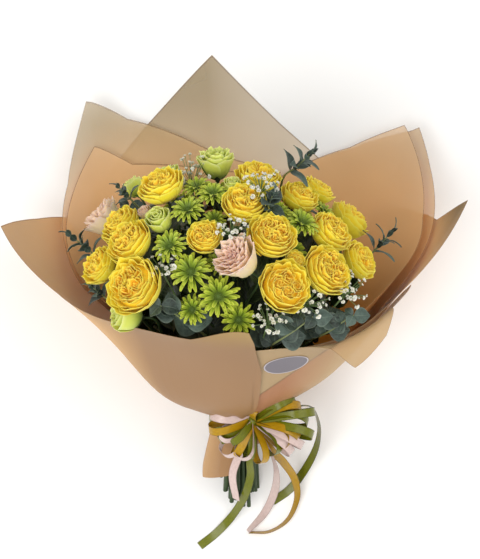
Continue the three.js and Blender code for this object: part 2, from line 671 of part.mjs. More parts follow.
/** A floret on its twig: a thin spike from its foot that widens to a small ball. */
function floret(foot, place) {
  const towards = place.clone().sub(foot).normalize();
  const ring = (along, radius) =>
    [0, 1, 2].map((k) => {
      const side = towards.clone().cross(UP).normalize().applyAxisAngle(towards, (k * 2 * Math.PI) / 3);
      return place.clone().addScaledVector(towards, along).addScaledVector(side, radius);
    });
  return skinned([[foot], ring(-3.6, 0.6), ring(0, 4), [place.clone().addScaledVector(towards, 3)]]);
}

/** A spray of gypsophila: small round florets on twigs that fan out from one stem. */
function gypsophila({ crown, root, reach, florets }) {
  const towards = outward(crown);
  const side = towards.clone().cross(UP).normalize();
  const other = side.clone().cross(towards);
  const start = root.clone().addScaledVector(towards, GAP);
  const hub = crown.clone().addScaledVector(towards, -1.3 * reach);
  const aside = (point, out, turn) =>
    point.clone().addScaledVector(side, out * Math.cos(turn)).addScaledVector(other, out * Math.sin(turn));
  const stemOn = (bend, turn) => () =>
    stalk([start, aside(start.clone().lerp(hub, 0.6), bend, turn), hub.clone().addScaledVector(towards, 1)], 1, 3, 2);
  const stemWays = SIDE_TURNS.flatMap((turn) => BENDS.map((bend) => stemOn(bend, turn)));
  const parts = [firstClear(stemWays, taken) ?? solid(stemWays[0]())];
  const floretAt = (i, nudge, sunk) => () => {
    const place = aside(crown, reach * Math.sqrt((i + 0.5) / florets), 2.4 * i + nudge / 3);
    place.addScaledVector(towards, reach * (sunk + 0.25 * (i % 3)));
    return floret(hub.clone().addScaledVector(towards, -1), place);
  };
  for (let i = 0; i < florets; i++) {
    const ways = SIDE_TURNS.flatMap((nudge) => [0, -0.35].map((sunk) => floretAt(i, nudge, sunk)));
    const made = firstClear(ways, taken);
    if (made) parts.push(made);
  }
  return fused(parts);
}

const greens = [];
function plant(rows, build, material) {
  rows.forEach((row, i) => {
    const made = build(row);
    greens.push({ name: `${material}_${i + 1}`, solid: made, material });
    taken.push(made);
  });
}
plant(GYPSOPHILA, gypsophila, "gypsophila");
plant(EUCALYPTUS, eucalyptus, "eucalyptus");

// ---- label: a bare oval on the front of the wrap ----
const LABEL = { angle: 19.5, t: 0.82, wide: 50, high: 40, thick: 0.6, sheet: SHEETS.film_front_right };
const LABEL_LIFT = 1.4; // clears the bulge of the film under the middle of the oval

/** A thin oval that lies flat against the film. */
function label({ angle, t, wide, high, thick, sheet }) {
  const normal = wrapNormal(angle, t);
  const centre = filmPoint(angle, t, sheet.layer).addScaledVector(normal, FILM / 2);
  const [below, above] = [t - 0.05, t + 0.05].map((height) => filmPoint(angle, height, sheet.layer));
  const along = above.sub(below).normalize();
  const across = along.clone().cross(normal).normalize();
  const rim = (offset) =>
    Array.from({ length: 16 }, (_, i) => {
      const turn = (2 * Math.PI * i) / 16;
      const place = centre.clone().addScaledVector(across, 0.5 * wide * Math.cos(turn));
      return place.addScaledVector(along, 0.5 * high * Math.sin(turn)).addScaledVector(normal, offset);
    });
  return solid(skinned([rim(LABEL_LIFT), rim(LABEL_LIFT + thick)]));
}

// ---- ribbon: bands round the tie, a bow of loops and trailing tails, fused where they cross ----
const RIBBON = { width: 10, thick: 0.8 };
const BAND = NECK.front + OUTER_LAYER * PITCH.neck + FILM / 2 + GAP; // inner half height of the band
const BAND_ACROSS = BAND + NECK.across - NECK.front;
const KNOT = beside(0, 14, BAND + 4.8);
const KNOT_RADIUS = 7.5;

/** A flat strip along a smooth line. Its width lies along what widthwise gives for the line's direction. */
function strip(points, widthwise, steps) {
  const line = new THREE.CatmullRomCurve3(points);
  const rings = Array.from({ length: steps + 1 }, (_, i) => {
    const place = line.getPointAt(i / steps);
    place.z = Math.max(place.z, RIBBON.thick);
    const tangent = line.getTangentAt(i / steps);
    const across = widthwise(tangent).normalize();
    const up = tangent.clone().cross(across).multiplyScalar(RIBBON.thick / 2);
    across.multiplyScalar(RIBBON.width / 2);
    const corner = (a, u) => place.clone().addScaledVector(across, a).addScaledVector(up, u);
    return [corner(-1, -1), corner(1, -1), corner(1, 1), corner(-1, 1)];
  });
  return solid(skinned(rings));
}

/** Loops of the bow: the way each points, and its reach. */
const LOOPS = [
  [V(0.8, 0.3, 0.5), 74],
  [V(0.95, -0.15, 0.25), 68],
  [V(0.6, -0.65, 0.3), 58],
  [V(-0.1, -0.9, 0.4), 50],
  [V(-0.75, -0.6, 0.25), 56],
  [V(-0.75, 0.1, 0.55), 52],
  [V(0.1, 0.3, 0.95), 50],
];
const LOOP_ROLL = rad(60); // from a loop that lies on its edge
/** Tails of the bow, from the knot down to the table. */
const TAILS = [
  [[18, -186, 92], [17, -212, 78], [14, -236, 56], [7, -258, 20], [-8, -272, 2], [-41, -295, 1.6]],
  [[56, -130, 120], [88, -124, 104], [103, -156, 62], [95, -190, 26], [78, -218, 4], [52, -240, 1.6]],
  [[44, -172, 92], [58, -190, 62], [74, -216, 24], [76, -240, 4], [64, -268, 1.2], [40, -281, 1.6]],
  [[34, -178, 94], [50, -200, 62], [49, -232, 18], [36, -258, 1.6], [16, -278, 1.6]],
  [[2, -178, 92], [-4, -202, 74], [0, -240, 40]],
];

function bow() {
  const parts = [solid(new THREE.SphereGeometry(KNOT_RADIUS, 8, 5).translate(KNOT.x, KNOT.y, KNOT.z))];
  parts.push(
    tied(
      RIBBON.width / 2 + 3,
      { across: BAND_ACROSS + RIBBON.thick + 0.4, front: BAND + RIBBON.thick + 0.4 },
      { across: BAND_ACROSS, front: BAND },
    ),
  );
  for (const [direction, reach] of LOOPS) {
    const out = direction.clone().normalize();
    const level = UP.clone().cross(out).normalize();
    const open = level.applyAxisAngle(out, LOOP_ROLL);
    const point = (share) =>
      KNOT.clone()
        .addScaledVector(out, reach * Math.sin(Math.PI * share) ** 0.8)
        .addScaledVector(open, -0.2 * reach * Math.sin(2 * Math.PI * share));
    const points = Array.from({ length: 9 }, (_, i) => point(i / 8));
    const flat = out.clone().cross(open);
    const squareTo = (tangent) => flat.clone().addScaledVector(tangent, -flat.dot(tangent));
    parts.push(strip(points, squareTo, 6));
  }
  for (const route of TAILS) {
    const level = (tangent) => UP.clone().cross(tangent);
    parts.push(strip([KNOT.clone(), ...route.map((p) => V(...p))], level, Math.round(1.4 * route.length)));
  }
  return fused(parts);
}

// ---- assembly ----
const bouquet = new THREE.Group();
function add(name, made, material) {
  const mesh = new THREE.Mesh(geometryOf(made), MATERIALS[material]);
  mesh.name = name;
  bouquet.add(mesh);
}
for (const h of heads) if (h.kind !== OWN_STALKS) add(h.name, h.solid, h.kind);
for (const s of ownSprays) add(s.name, s.solid, "chrysanthemum");
for (const g of greens) add(g.name, g.solid, g.material);
add("stem_bundle", stemBundle, "stem");
add("binding", binding, "binding");
for (const f of films) add(f.name, f.solid, "film");
add("label", label(LABEL), "label");
add("ribbon_bow", bow(), "ribbon");

// The origin is the middle of the whole, at the surface it lies on.
const extent = new THREE.Box3().setFromObject(bouquet);
const middle = extent.getCenter(V(0, 0, 0));
bouquet.position.set(-middle.x, -middle.y, -extent.min.z);

export default bouquet;
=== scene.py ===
"""A hand-tied bouquet in a wrap of frosted film, laid on its back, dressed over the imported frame.

Everything is worked out in millimetres, in the part's own layout, and set into the frame in metres last.
"""

import logging
import math
from collections.abc import Callable
from dataclasses import dataclass, field, replace
from enum import Enum
from functools import cache, partial

import bpy
import numpy as np
from mathutils import Matrix, Vector


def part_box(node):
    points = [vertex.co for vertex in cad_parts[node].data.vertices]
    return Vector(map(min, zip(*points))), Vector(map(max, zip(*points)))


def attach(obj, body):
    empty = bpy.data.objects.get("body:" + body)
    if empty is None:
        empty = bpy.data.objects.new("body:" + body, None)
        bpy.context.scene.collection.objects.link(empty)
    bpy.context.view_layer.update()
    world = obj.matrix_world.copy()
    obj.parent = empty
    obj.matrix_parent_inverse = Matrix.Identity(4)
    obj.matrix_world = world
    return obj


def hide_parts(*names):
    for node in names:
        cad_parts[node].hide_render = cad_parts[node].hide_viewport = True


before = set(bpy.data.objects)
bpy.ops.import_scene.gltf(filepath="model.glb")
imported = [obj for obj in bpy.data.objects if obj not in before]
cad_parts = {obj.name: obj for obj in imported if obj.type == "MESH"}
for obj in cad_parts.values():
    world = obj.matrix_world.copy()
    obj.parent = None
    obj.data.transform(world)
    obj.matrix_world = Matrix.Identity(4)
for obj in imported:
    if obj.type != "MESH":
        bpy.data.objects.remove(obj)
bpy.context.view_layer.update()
log = logging.getLogger("bouquet")

# ---- the layout's driving dimensions, in millimetres ----
TILT = math.radians(35)  # the bouquet's axis above the table
AXIS = Vector((0, math.cos(TILT), math.sin(TILT)))  # from the cut stems to the heads
ACROSS = Vector((1, 0, 0))
FRONT = Vector((0, -math.sin(TILT), math.cos(TILT)))  # away from the table
UP = Vector((0, 0, 1))
TIE = Vector((8, -132, 80))
DOME_CENTRE = Vector((-7, -5, 155))
DOME_RADIUS = 172
FOCUS = DOME_CENTRE - 40 * AXIS  # the heads face away from this point
GAP = 0.4
Chance = np.random.Generator  # the source of small differences

_low, _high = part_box("binding")
SHIFT = (_low + _high) * 500 - TIE  # from the layout to the frame

ANY_TURN = 6.3  # radians: a turn left to chance lies between none and this
GOLDEN = 2.4  # radians: the turn from one to the next that spreads many evenly
PLAIN = (0.5, 0, 0.5, 0)  # the tones of a part that is the same all over


def beside(along: float, across: float, front: float) -> Vector:
    """A point told from the tie, along the bouquet, across it and towards its front."""
    return TIE + along * AXIS + across * ACROSS + front * FRONT


def rows_beside(along: np.ndarray, across: np.ndarray, front: np.ndarray) -> np.ndarray:
    """Points told from the tie in the same way, one a row."""
    raised = np.array(TIE) + np.outer(along, np.array(AXIS))
    return raised + np.outer(across, np.array(ACROSS)) + np.outer(front, np.array(FRONT))


def outward(point: Vector) -> Vector:
    """The way from the tie to a point."""
    return (point - TIE).normalized()


# ---- colours and nodes ----
COLOURS = {"data_type": "RGBA"}  # a mix of colours: its share is input 0, they are 6 and 7, it gives output 2
SMOOTH = {"interpolation_type": "SMOOTHSTEP"}  # a range that starts and ends softly
TONE = {"attribute_name": "tone"}  # four values at each point, which each finish reads in its own way


def linear(hex_colour: str, alpha: float = 1.0) -> tuple[float, float, float, float]:
    """Turns an sRGB hex colour to the linear values that a shader takes.

    Args:
        hex_colour: six hex digits.
        alpha: the fourth value.

    Returns:
        Red, green, blue and alpha.
    """
    parts = [int(hex_colour[i : i + 2], 16) / 255 for i in (0, 2, 4)]
    return (*[c / 12.92 if c <= 0.04045 else ((c + 0.055) / 1.055) ** 2.4 for c in parts], alpha)


def spots_of(size: float) -> float:
    """A noise's scale on Object coordinates, which are metres, from the size of its spots in millimetres."""
    return 1000 / size


def feed(tree: bpy.types.NodeTree, node: bpy.types.Node, inputs: dict) -> None:
    """Gives a node's inputs their values and links.

    Args:
        tree: the material's node tree.
        node: the node.
        inputs: a value, an output socket or a node's first output for each input, by name or place.
    """
    for key, value in inputs.items():
        if isinstance(value, bpy.types.Node):
            value = value.outputs[0]
        if isinstance(value, bpy.types.NodeSocket):
            tree.links.new(value, node.inputs[key])
        else:
            node.inputs[key].default_value = value


def add_node(
    tree: bpy.types.NodeTree, kind: str, inputs: dict | None = None, **settings: str
) -> bpy.types.Node:
    """Adds a node with its settings and links.

    Args:
        tree: the material's node tree.
        kind: the shader node's type, without its first words.
        inputs: as feed takes them.
        settings: the node's own properties.

    Returns:
        The node.
    """
    node = tree.nodes.new(f"ShaderNode{kind}")
    for key, value in settings.items():
        setattr(node, key, value)
    feed(tree, node, inputs or {})
    return node


Adder = Callable[..., bpy.types.Node]  # adds a node to a finish's own tree


@dataclass(frozen=True)
class Finish:
    """What every finish has: a name, how rough its surface is, and a skin of its own."""

    name: str
    roughness: float

    def skin(self, add: Adder) -> dict:
        """Each finish adds its own nodes and gives the shader's inputs."""
        raise NotImplementedError

    def make(self) -> bpy.types.Material:
        """Builds the material.

        Returns:
            The material.
        """
        material = bpy.data.materials.new(self.name)
        material.use_nodes = True
        tree = material.node_tree
        skin = self.skin(partial(add_node, tree))
        feed(tree, tree.nodes["Principled BSDF"], {"Roughness": self.roughness, **skin})
        return material


@dataclass(frozen=True)
class PetalFinish(Finish):
    """Living petal: matt, a little see-through, paler along its rim, with fine veins, and deeper towards its foot,
    partly its own colour and partly painted shade from deep between the petals.

    The heads' tone attribute holds the share along the petal, how near the heart it is, its own chance value
    and how near its rim the point is.
    """

    # the foot's colour: the petal's own deeper base, with painted shade from deep between the petals
    foot: str
    blade: str
    rim: str
    heart: str
    veins: float = 38.0  # across one petal, about 1 mm apart on a rose's outer ones
    glow: float = 0.2

    def skin(self, add: Adder) -> dict:
        """Builds the petal's nodes.

        Args:
            add: adds a node.

        Returns:
            The shader's inputs.
        """
        tone = add("Attribute", **TONE)
        rim = tone.outputs["Alpha"]
        along, heart, chance = add("SeparateColor", {0: tone.outputs["Color"]}).outputs
        # Towards the foot the colour is partly the petal's own and partly painted shade.
        rise = add("MapRange", {0: along, 1: 0.1, 2: 0.75}, **SMOOTH)
        body = add("Mix", {0: rise, 6: linear(self.foot), 7: linear(self.blade)}, **COLOURS)
        inner = add("Mix", {0: heart, 6: body.outputs[2], 7: linear(self.heart)}, **COLOURS)
        lit = add("Mix", {0: rim, 6: inner.outputs[2], 7: linear(self.rim)}, **COLOURS)
        place = add("TexCoord")
        blotch = add("TexNoise", {"Vector": place.outputs["Object"], "Scale": spots_of(9.09), "Detail": 3})
        vary = add("Math", {0: blotch, 1: chance}, operation="ADD")
        bright = add("MapRange", {0: vary, 1: 0.3, 2: 1.7, 3: 0.9, 4: 1.08})
        hue = add("HueSaturation", {"Color": lit.outputs[2], "Value": bright})
        spread = add("Mapping", {"Vector": place.outputs["UV"], "Scale": (self.veins, 2.0, 1.0)})
        vein = add("TexNoise", {"Vector": spread, "Scale": 1.0, "Detail": 2})
        bump = add("Bump", {"Strength": 0.35, "Distance": 0.0006, "Height": vein})
        return {
            "Base Color": hue,
            "Normal": bump,
            "Subsurface Weight": self.glow,
            "Subsurface Radius": (1.0, 0.7, 0.25),
            "Subsurface Scale": 0.002,
            "Sheen Weight": 0.1,
        }


@dataclass(frozen=True)
class LeafFinish(Finish):
    """Living leaf: a waxy skin with a paler midrib, side veins and rim. Powder is what dulls eucalyptus.

    The tone attribute's third value is the leaf's own chance value, its fourth how near its rim a point is.
    """

    dark: str
    light: str
    vein: str
    vein_share: float
    side_veins: float = 1.0  # how clear they are beside the midrib
    patches: tuple[float, float] = (0.5, 1.35)  # of the patchy noise and the leaf's own value, dark and light
    own: float = 1.0  # the weight of that own value
    beat: float = 50.0  # radians along a leaf: 8 side veins, 5 mm apart on one of 40 mm

    def skin(self, add: Adder) -> dict:
        """Builds the leaf's nodes.

        Args:
            add: adds a node.

        Returns:
            The shader's inputs.
        """
        place = add("TexCoord")
        tone = add("Attribute", **TONE)
        chance = add("SeparateColor", {0: tone.outputs["Color"]}).outputs[2]
        dust = {"Vector": place.outputs["Object"], "Scale": spots_of(4.76), "Detail": 8, "Roughness": 0.85}
        powder = add("TexNoise", dust)
        vary = add("Math", {0: chance, 1: self.own, 2: powder}, operation="MULTIPLY_ADD")
        share = add("MapRange", {0: vary, 1: self.patches[0], 2: self.patches[1]})
        skin = add("Mix", {0: share, 6: linear(self.dark), 7: linear(self.light)}, **COLOURS)
        # The UV map runs across the leaf from 0 to 1 and along it, so the side veins are slanted bands on it.
        axes = add("SeparateXYZ", {0: place.outputs["UV"]})
        off = add("Math", {0: axes, 1: 0.5}, operation="SUBTRACT")
        side = add("Math", {0: off}, operation="ABSOLUTE")
        slant = add("Math", {0: side, 1: -0.7, 2: axes.outputs[1]}, operation="MULTIPLY_ADD")
        beat = add("Math", {0: slant, 1: self.beat}, operation="MULTIPLY")
        band = add("Math", {0: beat}, operation="SINE")
        lines = add("MapRange", {0: band, 1: 0.8, 2: 1.0, 4: self.side_veins})
        rib = add("MapRange", {0: side, 1: 0.035, 2: 0.01})
        both = add("Math", {0: lines, 1: rib}, operation="MAXIMUM")
        edge = add("Math", {0: both, 1: tone.outputs["Alpha"]}, operation="MAXIMUM")
        amount = add("Math", {0: edge, 1: self.vein_share}, operation="MULTIPLY")
        veined = add("Mix", {0: amount, 6: skin.outputs[2], 7: linear(self.vein)}, **COLOURS)
        bump = add("Bump", {"Strength": 0.4, "Distance": 0.0005, "Height": both})
        return {"Base Color": veined.outputs[2], "Normal": bump}


@dataclass(frozen=True)
class StalkFinish(Finish):
    """Cut green stalk: smooth skin with long streaks."""

    dark: str
    light: str

    def skin(self, add: Adder) -> dict:
        """Builds the stalk's nodes.

        Args:
            add: adds a node.

        Returns:
            The shader's inputs.
        """
        place = add("TexCoord")
        # Nine streaks go round a stalk, 1.7 mm apart on one of 5 mm, and each is about 13 mm long.
        spread = add("Mapping", {"Vector": place.outputs["UV"], "Scale": (9.0, 1.5, 1.0)})
        streak = add("TexNoise", {"Vector": spread, "Scale": 1.0, "Detail": 4})
        skin = add("Mix", {0: streak, 6: linear(self.dark), 7: linear(self.light)}, **COLOURS)
        bump = add("Bump", {"Strength": 0.3, "Distance": 0.0004, "Height": streak})
        return {"Base Color": skin.outputs[2], "Normal": bump}


@dataclass(frozen=True)
class FilmFinish(Finish):
    """Frosted polypropylene film: a satin skin that lets part of the light through.

    The film's colours are painted light and shade. The tone attribute's first value runs from the tie to the
    rim, and the colour is painted deeper towards the tie, for the warmer light that has passed several layers
    inside the cone. The second value goes from 0 to 1 across the fold where a sheet is turned over. The third is
    how far a side takes a painted lighter tone, for the layers and the light behind it, and the fourth how far
    that painted tone is the warmer painted glow inside the cone.
    """

    # painted tones from the tie to the rim: deeper and warmer near the tie, for light that has passed several
    # layers and shade deep in the cone
    deep: str
    middle: str
    top: str
    # a painted lighter tone for a side, for the layers and light behind it, and its warmer painted glow further in
    painted_light_side: str
    glow: str
    cover: tuple[float, float]  # of one of its two faces, near the tie and at the rim
    # the painted shade of the cut edge
    edge: str = "8A6A48"

    def skin(self, add: Adder) -> dict:
        """Builds the film's nodes.

        Args:
            add: adds a node.

        Returns:
            The shader's inputs.
        """
        tone = add("Attribute", **TONE)
        inside = tone.outputs["Alpha"]
        rising, turned, painted_light_share = add("SeparateColor", {0: tone.outputs["Color"]}).outputs
        # Painted light and shade: the colour deepens from the rim's tone towards the tie.
        low = add("MapRange", {0: rising, 1: 0.3, 2: 0.72}, **SMOOTH)
        high = add("MapRange", {0: rising, 1: 0.62, 2: 0.95}, **SMOOTH)
        lower = add("Mix", {0: low, 6: linear(self.deep), 7: linear(self.middle)}, **COLOURS)
        upper = add("Mix", {0: high, 6: lower.outputs[2], 7: linear(self.top)}, **COLOURS)
        # Painted light: a side takes a lighter tone, and a warmer painted glow further inside the cone.
        side = add("Mix", {0: inside, 6: linear(self.painted_light_side), 7: linear(self.glow)}, **COLOURS)
        sided = add("Mix", {0: painted_light_share, 6: upper.outputs[2], 7: side.outputs[2]}, **COLOURS)
        place = add("TexCoord")
        solid = place.outputs["Object"]
        haze = add("TexNoise", {"Vector": solid, "Scale": spots_of(143), "Detail": 2})
        value = add("MapRange", {0: haze, 1: 0.3, 2: 0.7, 3: 0.95, 4: 1.05})
        hue = add("HueSaturation", {"Color": sided.outputs[2], "Value": value})
        # The cut edge is a line of about 1 mm, painted darker: painted shade for the light that leaves the film
        # there.
        axes = add("SeparateXYZ", {0: place.outputs["UV"]})
        line = add("MapRange", {0: axes.outputs[1], 1: 0.9955, 2: 0.998, 4: 0.7})
        edged = add("Mix", {0: line, 6: hue, 7: linear(self.edge)}, **COLOURS)
        # The turned strip is painted with the rim's tone, beyond a painted shade line along the fold.
        strip = add("Mix", {0: turned, 6: edged.outputs[2], 7: linear(self.top)}, **COLOURS)
        off = add("Math", {0: turned, 1: 0.5}, operation="SUBTRACT")
        apart = add("Math", {0: off}, operation="ABSOLUTE")
        fold_shade = add("MapRange", {0: apart, 1: 0.5, 2: 0.2, 3: 1.0, 4: 0.72})
        folded = add("HueSaturation", {"Color": strip.outputs[2], "Value": fold_shade})
        # Real frosting is finer than 0.05 mm; it is drawn at about 2 mm, so that it breaks the highlights.
        frost = add("TexNoise", {"Vector": solid, "Scale": spots_of(2.38), "Detail": 2})
        bump = add("Bump", {"Strength": 0.08, "Distance": 0.0005, "Height": frost})
        # Handling leaves soft creases that run up from the tie, 15 to 35 mm apart at the rim.
        spread = add("Mapping", {"Vector": place.outputs["UV"], "Scale": (26.0, 1.6, 1.0)})
        crease = add("TexNoise", {"Vector": spread, "Scale": 1.0, "Detail": 3, "Distortion": 0.6})
        folds = add("Bump", {"Strength": 0.2, "Distance": 0.002, "Height": crease, "Normal": bump})
        covers = {0: rising, 1: 0.25, 2: 0.75, 3: self.cover[0], 4: self.cover[1]}
        return {
            "Base Color": folded,
            "Normal": folds,
            "Alpha": add("MapRange", covers, **SMOOTH),
            "IOR": 1.49,
            "Specular IOR Level": 0.18,
        }


@dataclass(frozen=True)
class SatinFinish(Finish):
    """Polyester satin ribbon: long smooth floats across the width of a fine warp, with a tight woven edge."""

    colour: str
    shade: str

    def skin(self, add: Adder) -> dict:
        """Builds the ribbon's nodes.

        Args:
            add: adds a node.

        Returns:
            The shader's inputs.
        """
        place = add("TexCoord")
        # Threads are 0.1 mm apart; they are drawn at 0.5 mm, 20 across the ribbon, so that they show.
        spread = add("Mapping", {"Vector": place.outputs["UV"], "Scale": (20.0, 3.0, 1.0)})
        thread = add("TexNoise", {"Vector": spread, "Scale": 1.0, "Detail": 1})
        axes = add("SeparateXYZ", {0: place.outputs["UV"]})
        off = add("Math", {0: axes, 1: 0.5}, operation="SUBTRACT")
        side = add("Math", {0: off}, operation="ABSOLUTE")
        edge = add("MapRange", {0: side, 1: 0.42, 2: 0.46})
        amount = add("Math", {0: edge, 1: 0.5, 2: thread}, operation="MULTIPLY_ADD")
        weave = add("MapRange", {0: amount, 1: 0.35, 2: 1.1})
        colour = add("Mix", {0: weave, 6: linear(self.colour), 7: linear(self.shade)}, **COLOURS)
        bump = add("Bump", {"Strength": 0.25, "Distance": 0.0003, "Height": amount})
        return {
            "Base Color": colour.outputs[2],
            "Normal": bump,
            "Anisotropic": 0.5,
            "Specular IOR Level": 0.36,
            "Sheen Weight": 0.02,
            "Sheen Roughness": 0.35,
        }


@dataclass(frozen=True)
class LabelFinish(Finish):
    """Coated paper label, printed one plain tone with a thin bare rim. The fourth value runs out to the rim."""

    field_colour: str = "6A646C"
    rim_colour: str = "B6AEB2"

    def skin(self, add: Adder) -> dict:
        """Builds the label's nodes.

        Args:
            add: adds a node.

        Returns:
            The shader's inputs.
        """
        tone = add("Attribute", **TONE)
        rim = add("MapRange", {0: tone.outputs["Alpha"], 1: 0.93, 2: 0.95})
        place = add("TexCoord")
        # Paper fibres are finer than 0.1 mm; they are drawn at about 1 mm, so that they show.
        fibre = add("TexNoise", {"Vector": place.outputs["Object"], "Scale": spots_of(1.11), "Detail": 3})
        uneven = add("MapRange", {0: fibre, 1: 0.3, 2: 0.7, 3: 0.93, 4: 1.05})
        colour = add("Mix", {0: rim, 6: linear(self.field_colour), 7: linear(self.rim_colour)}, **COLOURS)
        hue = add("HueSaturation", {"Color": colour.outputs[2], "Value": uneven})
        return {"Base Color": hue}


@dataclass(frozen=True)
class FloorFinish(Finish):
    """Plain seamless paper for the table."""

    colour: str = "F7F6F4"

    def skin(self, add: Adder) -> dict:
        """Builds the paper's nodes.

        Args:
            add: adds a node.

        Returns:
            The shader's inputs.
        """
        place = add("TexCoord")
        grain = add("TexNoise", {"Vector": place.outputs["Object"], "Scale": spots_of(16.7)})
        value = add("MapRange", {0: grain, 3: 0.995, 4: 1.0})
        hue = add("HueSaturation", {"Color": linear(self.colour), "Value": value})
        return {"Base Color": hue}


# ---- modelling ----
SEAM = 0.000004  # metres: points nearer than this are the two sides of one seam
UV_LENGTH = 20  # millimetres of a stalk or a ribbon to one step of its UV map
CREASE_ANGLE = math.radians(50)  # edges sharper than this stay sharp


def clear_selection() -> None:
    """Deselects everything, because an operator acts on all that is selected."""
    for thing in bpy.context.selected_objects:
        thing.select_set(False)


def apply_modifiers(piece: bpy.types.Object) -> None:
    """Applies a piece's modifiers in order.

    Args:
        piece: the piece.
    """
    clear_selection()
    piece.select_set(True)
    bpy.context.view_layer.objects.active = piece
    for modifier in list(piece.modifiers):
        bpy.ops.object.modifier_apply(modifier=modifier.name)


class Stock:
    """A primitive's points and faces, taken once and shaped many times."""

    def __init__(self) -> None:
        """Takes the points and faces of the active object, which a primitive operator has just added."""
        source = bpy.context.object
        mesh = source.data
        self.points = np.array([v.co[:] for v in mesh.vertices])
        self.faces = [list(p.vertices) for p in mesh.polygons]
        bpy.data.objects.remove(source)
        bpy.data.meshes.remove(mesh)


class Panel(Stock):
    """A flat grid: u runs across from -1 to 1 and v along from 0 to 1."""

    def __init__(self, across: int, along: int) -> None:
        """Makes the grid.

        Args:
            across: how many faces across.
            along: how many faces along.
        """
        clear_selection()
        bpy.ops.mesh.primitive_grid_add(x_subdivisions=across, y_subdivisions=along, size=1)
        super().__init__()
        self.u = self.points[:, 0] * 2
        self.v = self.points[:, 1] + 0.5


class Ball(Stock):
    """A round ball of small triangles."""

    def __init__(self, fineness: int) -> None:
        """Makes the ball, of radius 1.

        Args:
            fineness: how often its faces are divided.
        """
        clear_selection()
        bpy.ops.mesh.primitive_ico_sphere_add(subdivisions=fineness, radius=1)
        super().__init__()


@cache
def panel_of(across: int, along: int) -> Panel:
    """The grid of this size, made on its first use."""
    return Panel(across, along)


@cache
def ball_of(fineness: int) -> Ball:
    """The ball of this fineness, made on its first use."""
    return Ball(fineness)


@dataclass(frozen=True)
class Part:
    """A shaped part on the bench: points, faces, UV map, tones, finish, and whether it is closed."""

    points: np.ndarray
    faces: list
    uv: np.ndarray
    tone: np.ndarray
    finish: int
    closed: bool


